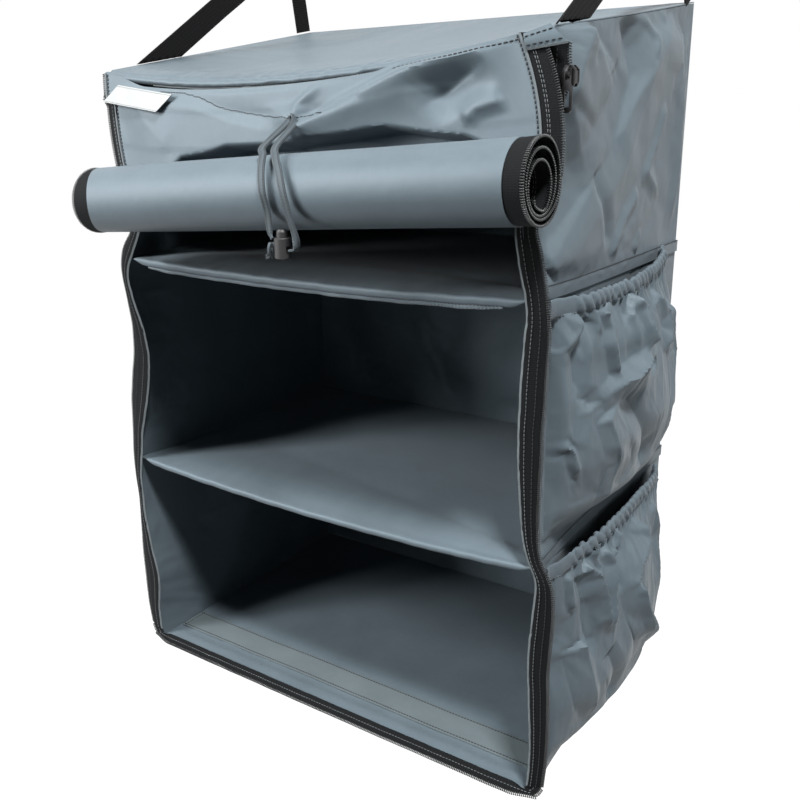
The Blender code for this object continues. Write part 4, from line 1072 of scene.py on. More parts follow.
stripLow, stripHigh = basePlan["stripY"]
x, v = np.meshgrid(np.linspace(-1, 1, 150) * basePlan["stripWide"], np.linspace(0, 1, 14))
y = stripLow + (stripHigh - stripLow) * v + 0.0012 * wander(82, 12, x, 0 * x)
z = basePlan["stripZ"] + 0.0009 * np.maximum(wander(81, 22, x, v * 0.05), 0) * np.sin(math.pi * v)
strip = np.stack((x, y, z), -1)
items = [clothPiece("facing", strip, strip[..., :2], facing)]
upward = (0.0, 0.0, 1.0)
for row in (1, 12):
    items.append(stitchRow(strip[row] + (0, 0, 0.0007), upward, darkThread, radius=0.0005))
for sign in sides.values():
    endX = sign * (basePlan["stripWide"] - 0.004)
    ends = [(endX, y, basePlan["stripZ"] + 0.0008) for y in (stripLow, stripHigh)]
    items.append(stitchRow(ends, upward, darkThread, radius=0.0005))
joined = joinPieces("baseFacing", items)
dress(joined, "base", ["base_facing_strip"])
print("base")


# Zip tapes, sewn along the opening and folded out sideways, with half a coil along the edge
tapePlan = {"frontY": -0.1678, "foldX": 0.2505, "edge": (0.2645, -0.1636), "foldedEdge": (0.2645, -0.1560),
            "topZ": {"left": 0.656, "right": 0.6705}, "bottomZ": 0.0135, "thick": 0.0009, "spacing": 0.0025,
            "waves": ((0.645, 0.014, 0.0040), (0.6150, 0.013, -0.0035)), "bottomColumns": 190,
            "bottomLong": 0.53}


def tapeSection(edge):
    # (x, y) from the seam to one of the plan's edges
    start = np.array((tapePlan["foldX"], tapePlan["frontY"]))
    points = [(seamX, tapePlan["frontY"] - 0.0006), (seamX + 0.003, tapePlan["frontY"] - 0.0009),
              (tapePlan["foldX"] - 0.001, tapePlan["frontY"] - 0.0007)]
    for t in np.linspace(0.12, 1, 8):
        bulge = 0.0008 * math.sin(math.pi * t)
        points.append(start + (np.array(tapePlan[edge]) - start) * t + np.array((-0.3, -1)) * bulge)
    return np.array(points)


def tapeGrid(side, low, high, rows):
    sign, upper = sides[side], low > levelZ["shelf1"]
    z = np.linspace(low, high, rows)[:, None]
    section = tapeSection("edge")[None]
    if upper and side == "left":
        # It lies open just above the shelf and folds back along the wall higher up
        back = smoothStep((z[..., None] - 0.515) / 0.045)
        section = section + (tapeSection("foldedEdge") - section) * back
    out = (section[..., 0] - seamX) / (tapePlan["edge"][0] - seamX)
    inner, outer = openingAt(side, z), openingAt(side, z, 2)
    x = inner + (outer - inner) * out + 0.0005 * wander(91 + sign, 40, z)
    if upper and side == "right":
        x = x + out ** 2 * sum(amount * np.exp(-((z - middle) / reach) ** 2)
                               for middle, reach, amount in tapePlan["waves"])
    y = section[..., 1] + (seamX - inner) * 0.12
    return np.stack(np.broadcast_arrays(sign * x, y, z), -1)


def tapePiece(name, side, low, high):
    sign = sides[side]
    rows = int((high - low) / tapePlan["spacing"])
    points = tapeGrid(side, low, high, rows)
    uv = np.stack(np.meshgrid(runLengths(tapeSection("edge")), np.linspace(0, high - low, rows)), -1)
    outward = points[:, -1] - points[:, -3]
    items = [clothPiece(name, points, uv, zipTape, tapePlan["thick"]),
             coilRow(points[:, -1] + outward * 0.15, outward, coilPlastic)]
    for column, thread in ((2, paleThread), (6, darkThread)):
        items.append(stitchRow(points[:, column] + (0, -0.0007, 0), (sign * 0.25, -1.0, 0.0), thread,
                               radius=0.00034))
    # The raw edge of the seam beside the tape
    raw = points[:, 0].copy()
    raw[:, 0] -= sign * (0.0006 + 0.0004 * wander(95 + sign, 160, raw[:, 2]))
    raw[:, 1] += 0.0005 * wander(96 + sign, 130, raw[:, 2])
    items.append(sweep("raw", raw, bandSections(raw, (sign, -0.4, 0.0), 0.0024, 0.0007), piping))
    return joinPieces(name, items)


for side in sides:
    for tier, (low, high) in tiers.items():
        body, joint = tierFold[tier]
        high = tapePlan["topZ"][side] if high is None else high
        start = tapePlan["bottomZ"] if tier == "lower" else low
        tape = tapePiece(f"{side}Tape{tier.title()}", side, start, high)
        dress(tape, body, [f"{side}_zip_tape_{tier}"], joint)

# The bottom run hangs off the base's front edge and turns up into the side tapes
route = curveThrough([(-0.2640, -0.1665, 0.0160), (-0.2560, -0.1690, 0.0085), (-0.2420, -0.1710, 0.0062),
                      (-0.12, -0.1716, 0.0060), (0.0, -0.1718, 0.0060), (0.12, -0.1716, 0.0060),
                      (0.2420, -0.1710, 0.0062), (0.2560, -0.1690, 0.0085), (0.2610, -0.1665, 0.0160)],
                     tapePlan["bottomColumns"])
turn = smoothStep((np.abs(route[:, 0]) - 0.236) / 0.02)
outward = np.stack((turn * np.sign(route[:, 0]), -0.80 * (1 - turn) - 0.05 * turn,
                    -0.52 * (1 - turn) - 0.35 * turn), -1)
across = np.linspace(-0.0052, 0.0056, 7)
points = route + outward * across[:, None, None]
points[..., 2] = np.maximum(points[..., 2] + 0.0004 * wander(97, 50, points[..., 0], points[..., 1]), 0.0012)
along = np.linspace(0, tapePlan["bottomLong"], tapePlan["bottomColumns"])
uv = np.stack(np.meshgrid(along, across - across[0]), -1)[..., ::-1]
items = [clothPiece("baseTape", points, uv, zipTape, tapePlan["thick"]),
         coilRow(points[-1] + outward * 0.0008, outward, coilPlastic),
         stitchRow(points[3] + (0, -0.0005, 0.0006), (0.0, -0.5, 0.8), paleThread, radius=0.00036)]
dress(joinPieces("baseTape", items), "base", ["base_zip_tape"])
print("zip tapes")


# Hem casing along the top's front edge
hemPlan = {"halfWide": 0.2478, "centreY": -0.1635, "halfDeep": 0.0070, "halfHigh": 0.0042, "stations": 330,
           "around": 28, "coarse": 0.0042, "fine": 0.0006}


def hemAt(x, angle, puff=0.0):
    centre = float(topSurface(x, topEdge["frontY"])) - hemPlan["halfHigh"]
    return (x, hemPlan["centreY"] + (hemPlan["halfDeep"] + puff) * math.cos(angle),
            centre + (hemPlan["halfHigh"] + puff) * math.sin(angle))


hemX = np.linspace(-hemPlan["halfWide"], hemPlan["halfWide"], hemPlan["stations"])
sections = []
for x in hemX:
    slack = float(smoothStep((0.135 - x) / 0.05) * smoothStep((x + 0.185) / 0.03))
    section = []
    for k in range(hemPlan["around"]):
        angle = math.tau * k / hemPlan["around"]
        # Puckers run across the casing, deepest above the stitches on its front
        front = max(0.0, -math.cos(angle)) * (0.4 + 0.6 * max(0.0, math.sin(angle + 0.4)))
        coarse = hemPlan["coarse"] * (0.45 - abs(noise.noise((x * 62, angle * 0.4, 1.5))))
        fine = hemPlan["fine"] * noise.noise((x * 190, angle * 0.4, 6.5))
        section.append(hemAt(x, angle, (coarse + fine) * front * slack - 0.0002))
    sections.append(section)
items = [sweep("hem", [hemAt(x, math.pi) for x in hemX], sections, fabric)]
row = [hemAt(x, math.radians(207), 0.0005) for x in np.linspace(-0.178, 0.118, 120)]
items.append(stitchRow(row, (0.0, -0.9, -0.4), darkThread, radius=0.00045))
low = np.array([hemAt(x, math.radians(228), 0.0006) for x in np.linspace(-0.176, 0.118, 120)])
low[:, 2] += 0.0003 * wander(98, 60, low[:, 0])
items.append(sweep("edge", low, bandSections(low, (0.0, -0.6, -0.8), 0.0020, 0.0009), piping))
dress(joinPieces("topHem", items), "top", ["top_front_hem"])
print("hem")


# Front flap: hangs from the hem, is drawn together at the tie, and winds into the roll
flapPlan = {
    "hingeY": -0.1712, "rollY": -0.2150, "rollZ": 0.5598, "slope": 0.0615, "radius": 0.0342, "turns": 3.4,
    "pitch": 0.0055, "left": (-0.2335, -0.2130), "right": (0.2310, 0.2545), "hangRows": 56, "turnRows": 54,
    "columns": 170, "wide": 0.477, "rightSwell": 0.008, "leftUneven": 0.0150, "leftEar": 0.0115,
    "tapeWide": 0.018, "hangTape": {"left": 0.0130, "right": 0.0160}, "leftTapeX": -0.2185,
}
# Lines on the hanging cloth, as (x, z)
ridgeLine = ((0.0050, 0.6075), (0.0173, 0.6102), (0.0538, 0.6240), (0.0964, 0.6375), (0.1408, 0.6530),
             (0.1731, 0.6605), (0.2036, 0.6669), (0.2300, 0.6700))
foldLine = ((-0.2, 0.560), (-0.158, 0.573), (-0.1375, 0.5862), (-0.0994, 0.5912), (-0.0748, 0.597),
            (-0.0122, 0.599),
            (0.0176, 0.6043), (0.0623, 0.6084), (0.1095, 0.6146), (0.1533, 0.6089), (0.1856, 0.6066),
            (0.205, 0.600), (0.225, 0.575))
seamLine = ((-0.150, 0.6470), (-0.1042, 0.6423), (-0.0665, 0.6300), (-0.0297, 0.6233), (0.0173, 0.6203),
            (0.0511, 0.6248))
hangFolds = [
    fold(-0.015, 0.022, 0.026, (0.222, 0.663), (0.1874, 0.6464), (0.1603, 0.6323), (0.1461, 0.6212),
         power=1.3,
         fadeIn=0.35, fadeOut=0.4),
    fold(0.004, 0.010, 0.014, (0.225, 0.632), (0.200, 0.626), (0.185, 0.615), power=1.4),
    fold(0.0032, 0.007, 0.005, (0.060, 0.650), (0.030, 0.634), (0.012, 0.622), power=1.3, fadeIn=0.5),
    fold(-0.0026, 0.006, 0.008, (0.105, 0.640), (0.060, 0.628), (0.020, 0.621)),
    fold(0.0016, 0.040, 0.036, (-0.2, 0.655), (-0.185, 0.62), (-0.15, 0.59)),
]


def rollCentreZ(x):
    return flapPlan["rollZ"] + flapPlan["slope"] * x


def hangTop(x):
    # The flap is sewn under the casing in the middle and over it at both ends
    over = 0.0080 * smoothStep((-0.172 - x) / 0.045) + 0.0036 * smoothStep((x - 0.112) / 0.03)
    return topSurface(x, topEdge["frontY"]) - 0.0086 + over


def hangForward(x, z):
    # How far the hanging cloth stands forward of the straight line from hem to roll
    ridge, crease, seam = (np.interp(x, *zip(*line)) for line in (ridgeLine, foldLine, seamLine))
    onRidge = smoothStep((x + 0.01) / 0.03) * smoothStep((0.245 - x) / 0.05)
    below, above = np.maximum(ridge - z, 0), np.maximum(z - ridge, 0)
    reach = 0.013 * onRidge * np.where(z > ridge, np.exp(-(above / 0.0045) ** 2),
                                       np.exp(-(below / 0.024) ** 1.5))
    swell = smoothStep((seam + 0.002 - z) / 0.016) * smoothStep((z - crease + 0.002) / 0.006 + 0.4)
    leftSwell = 0.0035 * swell * smoothStep((0.02 - x) / 0.06) * smoothStep((x + 0.225) / 0.05)
    gather = 0.006 * np.exp(-((x - 0.010) / 0.022) ** 2) * np.exp(-((z - 0.620) / 0.010) ** 2)
    header = 0.0015 * bumpAt(x, -0.03, 0.16) * bumpAt(z, 0.640, 0.02)
    inRecess = smoothStep((x + 0.170) / 0.035) * smoothStep((0.212 - x) / 0.03)
    aboveRoll = smoothStep((z - rollCentreZ(x) + 0.002) / 0.028)
    recess = 0.034 * inRecess * aboveRoll * smoothStep((crease - z) / 0.0085)
    return reach + leftSwell + gather + header + creaseField(x, z, hangFolds) - recess


def rollPath(x):
    # (y, z) round the roll; the inner turns lie low and towards the front
    found = []
    centre = rollCentreZ(x)
    steps = round(flapPlan["turns"] * flapPlan["turnRows"])
    for k in range(steps + 1):
        turned = math.tau * k / flapPlan["turnRows"]
        radius = flapPlan["radius"] - flapPlan["pitch"] * turned / math.tau
        inner = max(flapPlan["radius"] - radius - 0.0045, 0) * 0.62
        loose = 0.0006 * noise.noise((x * 6, turned * 0.8, 2.2)) * min(turned / 3, 1)
        # The loose end crosses the middle in a slack wave
        tail = max(0.0, (k - steps + 16) / 16)
        radius = radius * (1 - 0.35 * tail ** 2) + 0.0008 * math.sin(tail * 9) + loose
        found.append((flapPlan["rollY"] - 0.52 * inner + radius * math.cos(turned),
                      centre - 0.80 * inner - radius * math.sin(turned)))
    return found


def flapColumn(x):
    zTop, zLow = float(hangTop(x)), rollCentreZ(x)
    backY = flapPlan["rollY"] + flapPlan["radius"]
    t = np.arange(flapPlan["hangRows"]) / flapPlan["hangRows"]
    z = zTop + (zLow - zTop) * t
    hold = smoothStep(t / 0.06) * smoothStep((1 - t) / 0.12)
    y = flapPlan["hingeY"] + (backY - flapPlan["hingeY"]) * t - hangForward(np.full_like(z, x), z) * hold
    return list(zip(y, z)) + rollPath(x)


def flapEdges(k):
    # The cloth narrows as it hangs, and its left end lies unevenly on the roll
    t = min(k / flapPlan["hangRows"], 1)
    turned = max(k - flapPlan["hangRows"], 0) / flapPlan["turnRows"] * math.tau
    (leftTop, leftRoll), (rightTop, rightRoll) = flapPlan["left"], flapPlan["right"]
    uneven = flapPlan["leftUneven"] * max(0.0, -math.cos(turned)) ** 1.5 * (t == 1)
    # Above the label's foot its left edge still reaches the corner
    ear = flapPlan["leftEar"] * (1 - smoothStep((t - 0.19) / 0.07))
    left = leftTop + (leftRoll - leftTop) * t ** 2.2 + uneven - ear
    return left, rightTop + (rightRoll - rightTop) * t + flapPlan["rightSwell"] * 4 * t * (1 - t)


shares = np.linspace(0, 1, flapPlan["columns"])
left, right = flapPlan["left"][0], flapPlan["right"][1]
columns = np.array([flapColumn(left + (right - left) * share) for share in shares])
flapRows = columns.shape[1]
edges = np.array([flapEdges(k) for k in range(flapRows)])
across = edges[:, :1] + (edges[:, 1:] - edges[:, :1]) * shares
flapPoints = np.concatenate((across[..., None], columns.transpose(1, 0, 2)), -1)
flapLengths = runLengths(flapPoints[:, 60])
flapUv = np.stack(np.meshgrid(shares * flapPlan["wide"], flapLengths), -1)
items = [clothPiece("flapCloth", flapPoints, flapUv, fabric)]
outside = gridNormals(flapPoints)
outside *= -np.sign(outside[10, 80, 1])


def onFlap(places, lift=0.0006):
    # Points on the front of the hanging cloth, from (x, z)
    found, normals = [], []
    hang = flapPoints[:flapPlan["hangRows"]]
    for x, z in places:
        i = int(np.argmin(np.abs(hang[20, :, 0] - x)))
        k = int(np.argmin(np.abs(hang[:, i, 2] - z)))
        found.append(hang[k, i] + outside[k, i] * lift)
        normals.append(outside[k, i])
    return np.array(found), np.array(normals)


items.append(stitchRow(*onFlap(curveThrough(seamLine, 60), 0.0007), darkThread))
stitched = slice(flapPlan["hangRows"] + 60)
for column in (2, -3):
    normals = outside[stitched, column]
    items.append(stitchRow(flapPoints[stitched, column] + normals * 0.0007, normals, darkThread,
                           radius=0.0005))
topRow = flapPoints[2, flapPoints[2, :, 0] > 0.112]
items.append(stitchRow(topRow + (0, -0.0008, 0), (0.0, -1.0, 0.0), darkThread, pitch=0.0046, length=0.0034,
                       radius=0.0006))
flapCloth = joinPieces("flapCloth", items)


def bendAcross(item, node):
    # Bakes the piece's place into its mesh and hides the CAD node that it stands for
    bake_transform(item)
    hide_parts(node)


bendAcross(flapCloth, "front_flap")

for side, sign in sides.items():
    # The flap's own tape follows its edge down and round the roll
    column, inner = (-1, -2) if side == "right" else (0, 1)
    edge = flapPoints[:, column]
    row = np.arange(flapRows)
    hangs = (row < flapPlan["hangRows"])[:, None]
    onRoll = smoothStep((row - flapPlan["hangRows"] + 6) / 20)
    hangWide, rollWide = flapPlan["hangTape"][side], flapPlan["tapeWide"]
    if side == "left":
        # Behind the ear of cloth the tape is folded under
        hangWide = 0.0035 + (hangWide - 0.0035) * smoothStep((row / flapPlan["hangRows"] - 0.17) / 0.08)
        rollWide = np.maximum(edge[:, 0] + 0.003 - flapPlan["leftTapeX"], 0.006)
    share = np.linspace(0, 1, 10)
    wide = (hangWide * (1 - onRoll) + rollWide * onRoll)[:, None] * share
    tapePoints = edge[:, None] + outside[:, inner, None] * 0.0008 * (1 - share)[:, None]
    tapePoints[..., 0] = edge[:, :1] + sign * (wide - 0.003)
    tapePoints[..., 1] += 0.10 * wide * hangs
    tapePoints[..., 2] += flapPlan["slope"] * sign * wide * ~hangs
    uv = np.stack(np.broadcast_arrays(wide, flapLengths[:, None]), -1)
    outward = np.array((sign, 0.0, 0.0))
    items = [clothPiece(f"flapTape{side}", tapePoints, uv, zipTape, 0.0008),
             coilRow(tapePoints[:, -1] + outward * 0.0008, outward, coilPlastic)]
    tapeOut = gridNormals(tapePoints)
    tapeOut *= np.sign(np.sum(tapeOut[:, 4] * outside[:, -2], axis=1))[:, None, None]
    for column in (3, 4):
        normals = tapeOut[:, column]
        items.append(stitchRow(tapePoints[:, column] + normals * 0.0006, normals, paleThread, radius=0.00032))
    fringe = (tapePoints[:, 0] + tapeOut[:, 0] * 0.0003)[:flapPlan["hangRows"]]
    items.append(sweep("fringe", fringe, bandSections(fringe, outward, 0.0016, 0.0011), piping))
    bendAcross(joinPieces(f"{side}FlapTape", items), f"flap_zip_tape_{side}")
print("flap and roll")


# Tie: two flat strands over the roll, into the cord lock, knotted beside it
tiePlan = {"width": 0.0065, "thick": 0.0020, "lockY": -0.2475, "holeZ": 0.5165, "knotX": 0.0396}


def overRoll(x, degrees, lift=0.0):
    reach = 0.0366 + lift
    angle = math.radians(degrees)
    return (x, flapPlan["rollY"] + reach * math.cos(angle), float(rollCentreZ(x)) + reach * math.sin(angle))


lockY = tiePlan["lockY"]
strands = {
    "left": [(0.0096, -0.1790, 0.6225), (0.0100, -0.1880, 0.6145), overRoll(0.0185, 108, 0.0020),
             overRoll(0.0255, 125), overRoll(0.0325, 150), overRoll(0.0368, 178), overRoll(0.0380, 205),
             (0.0385, lockY + 0.0005, 0.5310), (tiePlan["knotX"] + 0.0015, lockY, tiePlan["holeZ"] + 0.0082)],
    "right": [(0.0116, -0.1790, 0.6225), (0.0205, -0.1890, 0.6150), overRoll(0.0340, 110, 0.0020),
              overRoll(0.0415, 130), overRoll(0.0530, 155), overRoll(0.0600, 180, 0.0010),
              (0.0640, lockY - 0.0030, 0.5430), (0.0668, lockY - 0.0005, 0.5290), (0.0664, lockY, 0.5185),
              (0.0600, lockY, tiePlan["holeZ"])],
}
steps = np.arange(90)
for side, route in strands.items():
    path = curveThrough(route, len(steps))
    outward = np.stack((0 * path[:, 0], path[:, 1] - flapPlan["rollY"],
                        path[:, 2] - rollCentreZ(path[:, 0])), -1)
    along = np.gradient(path, axis=0)
    wide = unit(np.cross(outward, along))
    if side == "right":
        # The right strand twists on its way down to the lock
        end = smoothStep((steps - 66) / 18)[:, None]
        wide = unit(wide * (1 - end) + np.array((0, 1.0, 0)) * end)
    width = tiePlan["width"] * (1 - 0.12 * smoothStep((steps - 60) / 30))
    items = [sweep("band", path, bandSections(path, wide, width, tiePlan["thick"] * 0.75, 0.28), tieCloth)]
    up = unit(np.cross(wide, along))
    up *= np.sign(np.sum(up * outward, axis=1))[:, None]
    for shift, thread in ((-0.36, paleThread), (0.36, darkThread)):
        row = (path + wide * shift * tiePlan["width"] + up * 0.0012)[4:-6]
        items.append(stitchRow(row, up[4:-6], thread, pitch=0.0026, length=0.0019, radius=0.00032))
    dress(joinPieces(f"{side}Tie", items), "flap", [f"tie_strand_{side}"])

# Knot of the strands' ends, with the frayed tips
knotMiddle = np.array((tiePlan["knotX"], lockY, tiePlan["holeZ"] + 0.0004))
around = np.linspace(0, math.tau, 80)
loop = np.stack((np.sin(around) + 1.3 * np.sin(2 * around), np.cos(around) - 1.3 * np.cos(2 * around),
                 -1.5 * np.sin(3 * around)), -1) * (0.00115, 0.0012, 0.0021) + knotMiddle
items = [sweep("knot", loop, bandSections(loop, loop - knotMiddle + (0.0, 0.0, 1e-4), 0.0030, 0.0022),
               tieCloth)]
for n in range(26):
    lean = Vector((math.sin(n * 2.4), math.cos(n * 2.4), 0))
    spread = 0.0016 * math.sqrt((n + 0.5) / 26)
    start = knotMiddle + np.array((lean.x * spread * 0.6 - 0.001, lean.y * spread, -0.003))
    reach = 0.0050 + 0.0016 * math.sin(n * 1.7)
    tip = start + np.array((lean.x * spread * 1.6 - 0.0022, lean.y * spread * 1.5, -reach))
    fibre = curveThrough([start, (start + tip) / 2 + (0.0006 * math.sin(n * 5.1), 0, 0), tip], 7)
    thin = np.linspace(0.0007, 0.0003, len(fibre))
    items.append(sweep("fibre", fibre, bandSections(fibre, (lean.x, lean.y, 0.01), thin, 0.0004), piping))
dress(joinPieces("knot", items), "flap", ["tie_knot"])
print("tie")


def patch(corners, rows, columns):
    # Shares across and down, and the places between four corners: two of the first row, then two of the last
    u, v = np.meshgrid(np.linspace(0, 1, columns), np.linspace(0, 1, rows))
    across, down = u[..., None], v[..., None]
    a, b, c, d = (np.array(corner) for corner in corners)
    return u, v, (a * (1 - across) + b * across) * (1 - down) + (c * (1 - across) + d * across) * down


# Label, sewn on the flap and left blank
labelPlan = {"corners": ((-0.2214, 0.6546), (-0.1406, 0.6436), (-0.2428, 0.6387), (-0.1602, 0.6277)),
             "clear": 0.0019, "thick": 0.0006, "flat": (0.078, 0.018)}
u, v, places = patch(labelPlan["corners"], 16, 40)
behind = np.array([onFlap(row)[0][:, 1] for row in places])
# A flat film just clear of everything behind it, curling a little at its lower edge
terms = np.column_stack((places.reshape(-1, 2), np.ones(behind.size)))
fitted = (terms @ np.linalg.lstsq(terms, behind.ravel(), rcond=None)[0]).reshape(behind.shape)
front = fitted + (behind - fitted).min() - labelPlan["clear"] - 0.0012 * v ** 2 * u
points = np.stack((places[..., 0], front, places[..., 1]), -1)
items = [clothPiece("label", points, np.stack((u, v), -1) * labelPlan["flat"], labelFilm, labelPlan["thick"])]
for row in (points[1], points[-2]):
    items.append(stitchRow(row + (0, -0.0005, 0), (0.0, -1.0, 0.0), paleThread, pitch=0.0024, length=0.0016,
                           radius=0.0002))
bendAcross(joinPieces("label", items), "blank_label")
print("label")


# Pockets with their gathered hems
elasticPlan = {"clear": 0.0052, "stations": 520, "around": 16, "ruches": 25, "depth": 1.2, "tabEnd": 0.135,
               "thin": 0.0014, "thick": 0.0027, "high": 0.0078, "tabHigh": 0.0086}
for (side, tier), panel in pocketPanels.items():
    sign = sides[side]
    body, joint = tierFold[tier]
    low, high = tiers[tier]
    pocket = clothPiece(panel["name"], panel["points"], panel["uv"], fabric)
    stitched = round(pocketPlan["rows"] * pocketPlan["stitched"])
    outward = np.array((sign, 0.5, 0.0))
    seamRow = stitchRow(panel["points"][-stitched:, -3] + outward * 0.0005, outward, darkThread, pitch=0.0046,
                        length=0.0034, radius=0.0005)
    pocket = joinPieces(pocket.name, [pocket, seamRow])
    dress(pocket, body, [f"{side}_pocket_{tier}"], joint)
    u = np.linspace(0, 1, elasticPlan["stations"])
    path = readRows(u, panel["points"][-1])
    path[:, 0] = sign * np.maximum(sign * path[:, 0], halfWide + elasticPlan["clear"])
    path[:, 0] = np.convolve(np.pad(path[:, 0], 12, mode="edge"), np.ones(25) / 25, mode="valid")
    seed = 61 if tier == "middle" else 66
    drift = 0.6 * wander(seed, 4.0, u)
    uneven = 1 + 0.5 * wander(seed + 4, 23, u)
    sideways = np.array((sign, 0.0, 0.0))
    upward = np.cross(unit(np.gradient(path, axis=0)), sideways)
    upward *= np.sign(upward[:, 2])[:, None]
    tab = smoothStep((elasticPlan["tabEnd"] - u) / 0.02)
    thick = elasticPlan["thick"] * (1 - tab) + elasticPlan["thin"] * tab
    height = elasticPlan["high"] * (1 - tab) + elasticPlan["tabHigh"] * tab
    sections = []
    for k in range(elasticPlan["around"]):
        # Each ruche leans, and is cut off from the next by a narrow dark gap
        angle = math.tau * k / elasticPlan["around"]
        leaning = 0.40 * math.sin(angle) + 0.25 * wander(seed + 3, 9, u, angle * 0.3)
        phase = elasticPlan["ruches"] * u + drift + leaning
        ruche = (np.abs(np.sin(math.pi * phase)) ** 0.5 - 0.62) * (1 - tab) * uneven
        skew = 0.10 * wander(seed + 1, 70, u, angle * 0.01)
        deep = thick * (1 + elasticPlan["depth"] * ruche + skew) * math.cos(angle)
        tall = height * (1 + 0.22 * ruche) * math.sin(angle) + 0.0050
        sections.append(path + sideways * deep[:, None] + upward * tall[:, None])
    tabRow = (path + sideways * 0.0012 - upward * 0.0022)[u < elasticPlan["tabEnd"]]
    items = [sweep("hemBand", path, np.stack(sections, 1), hemCloth),
             stitchRow(tabRow, sideways, darkThread, pitch=0.0034, length=0.0024, radius=0.0005)]
    hem = joinPieces(f"{side}Hem{tier.title()}", items)
    dress(hem, body, [f"{side}_pocket_elastic_{tier}"], joint)
print("pockets")


# Zip end covers: a folded strip of the same cloth over the top of each side tape, its corners as (x, z)
coverPlan = {"left": ((0.2300, 0.6450), (0.2460, 0.6460), (0.2300, 0.6570), (0.2450, 0.6575)),
             "right": ((0.2350, 0.6662), (0.2660, 0.6700), (0.2325, 0.6770), (0.2520, 0.6830)),
             "y": {"left": (-0.1703, -0.1690), "right": (-0.1742, -0.1702)}, "flat": (0.026, 0.012),
             "thick": 0.0010}
for side, sign in sides.items():
    u, v, places = patch(coverPlan[side], 10, 24)
    innerY, outerY = coverPlan["y"][side]
    y = innerY + (outerY - innerY) * u ** 1.5 - 0.0010 * np.sin(math.pi * v)
    points = np.stack((sign * places[..., 0], y, places[..., 1]), -1)
    items = [clothPiece("cover", points, np.stack((u, v), -1) * coverPlan["flat"], fabric,
                        coverPlan["thick"])]
    for row in (2, 7):
        items.append(stitchRow(points[row] + (0, -0.0009, 0), (0.0, -1.0, 0.2), darkThread, pitch=0.0042,
                               length=0.0030, radius=0.0005))
    items.append(sweep("piping", points[0], bandSections(points[0], (0.0, -0.3, 1.0), 0.0016, 0.0014),
                       piping))
    dress(joinPieces(f"{side}Cover", items), "top", [f"{side}_zip_end_cover"])


# Hanging straps: flat webbing, edgewise at the seam and turned flat over the hook. The right one's foot is
# further ahead and higher up.
strapPlan = {"width": 0.025, "thick": 0.0018, "x": 0.2491, "front": 0.0760, "back": 0.3270,
             "apex": (0.3270, 0.0985),
             "lift": 0.0016, "hook": 0.010, "tuck": 0.034, "foot": (0.042, 0.110),
             "ahead": {"left": 0.0, "right": 0.034}, "up": {"left": 0.0, "right": 0.0095},
             "bend": {"left": (-0.002, 0.032), "right": (0.008, 0.042)}}


def strapPoint(sign, along, above):
    # Along the top's slope from its front edge, and above it
    slope = math.atan2(topEdge["backZ"] - topEdge["frontZ"], topEdge["backY"] - topEdge["frontY"])
    run = np.array((0, math.cos(slope), math.sin(slope)))
    rise = np.array((0, -math.sin(slope), math.cos(slope)))
    return np.array((sign * strapPlan["x"], topEdge["frontY"],
                     topEdge["frontZ"])) + run * along + rise * above


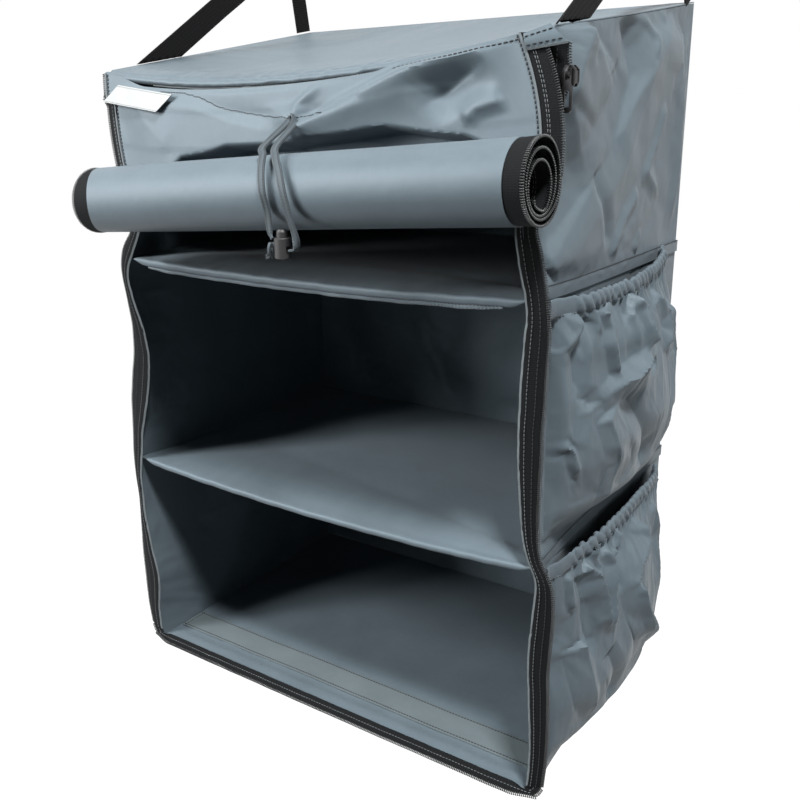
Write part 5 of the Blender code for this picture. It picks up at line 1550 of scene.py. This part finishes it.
quarter = math.pi / 2
for side, sign in sides.items():
    run = strapPoint(sign, 1, 0) - strapPoint(sign, 0, 0)
    rise = strapPoint(sign, 0, 1) - strapPoint(sign, 0, 0)
    outward = np.array((float(sign), 0.0, 0.0))
    ahead, up = strapPlan["ahead"][side], strapPlan["up"][side]
    apexAlong, apexAbove = strapPlan["apex"][0] - ahead, strapPlan["apex"][1] + up
    front = strapPoint(sign, strapPlan["front"] - ahead, up)
    back = strapPoint(sign, strapPlan["back"], strapPlan["lift"])
    lean = math.atan2(apexAbove - up, apexAlong - strapPlan["front"] + ahead)
    inside = strapPoint(sign, apexAlong, apexAbove) - (run + rise) * strapPlan["hook"]
    crown = [inside + strapPlan["hook"] * (run * math.cos(a) + rise * math.sin(a))
             for a in [(quarter + lean) * (1 - k / 18) for k in range(19)]]
    climb, length = unit(crown[0] - front), np.linalg.norm(crown[0] - front)
    down, drop = unit(back - crown[-1]), np.linalg.norm(back - crown[-1])
    path, wide = [], []
    for t in np.linspace(0, 1, 60):
        turn = quarter * float(smoothStep(t * 2 - 1))
        path.append(front + climb * (length * t - (strapPlan["tuck"] + up) * (1 - t)))
        wide.append(np.array((0, -climb[2], climb[1])) * math.cos(turn) + outward * math.sin(turn))
    for point in crown[1:]:
        path.append(point)
        wide.append(outward)
    for t in np.linspace(0, 1, 30)[1:]:
        turn = quarter * float(smoothStep(t * 2))
        path.append(crown[-1] + down * drop * t)
        wide.append(outward * math.cos(turn) + np.array((0, down[2], -down[1])) * math.sin(turn))
    band = sweep("band", path, bandSections(path, wide, strapPlan["width"], strapPlan["thick"]), webbing)
    # The foot is trimmed along the top's edge, where it comes out of the seam
    footY = [strapPoint(sign, along - ahead, 0)[1] for along in strapPlan["foot"]]
    low, high = (np.array((0, y, topLine(y) + topLift(sign * halfWide, y) + 0.0003)) for y in footY)
    bpy.context.view_layer.objects.active = band
    band.select_set(True)
    bpy.ops.object.mode_set(mode="EDIT")
    bpy.ops.mesh.select_all(action="SELECT")
    bpy.ops.mesh.bisect(plane_co=low, plane_no=(0, low[2] - high[2], high[1] - low[1]), use_fill=True,
                        clear_inner=True)
    bpy.ops.object.mode_set(mode="OBJECT")
    band.select_set(False)
    # The webbing, its feet in the seam, stands in for the CAD strap
    bendAcross(joinPieces(f"{side}Webbing", [band]),
               f"{side}_hanging_strap")
print("straps")


# CAD nodes that stay, with their finishes
kept = {"cord_lock_body": lockPlastic, "cord_lock_button": lockPlastic, "cord_lock_spring": springSteel,
        "zip_slider_body": sliderMetal, "zip_pull_tab": sliderMetal, "shelf_1_board": boardPlastic,
        "shelf_2_board": boardPlastic, "base_board": boardPlastic}
for node, made in kept.items():
    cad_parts[node].data.materials.clear()
    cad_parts[node].data.materials.append(made)
print("kept nodes finished")
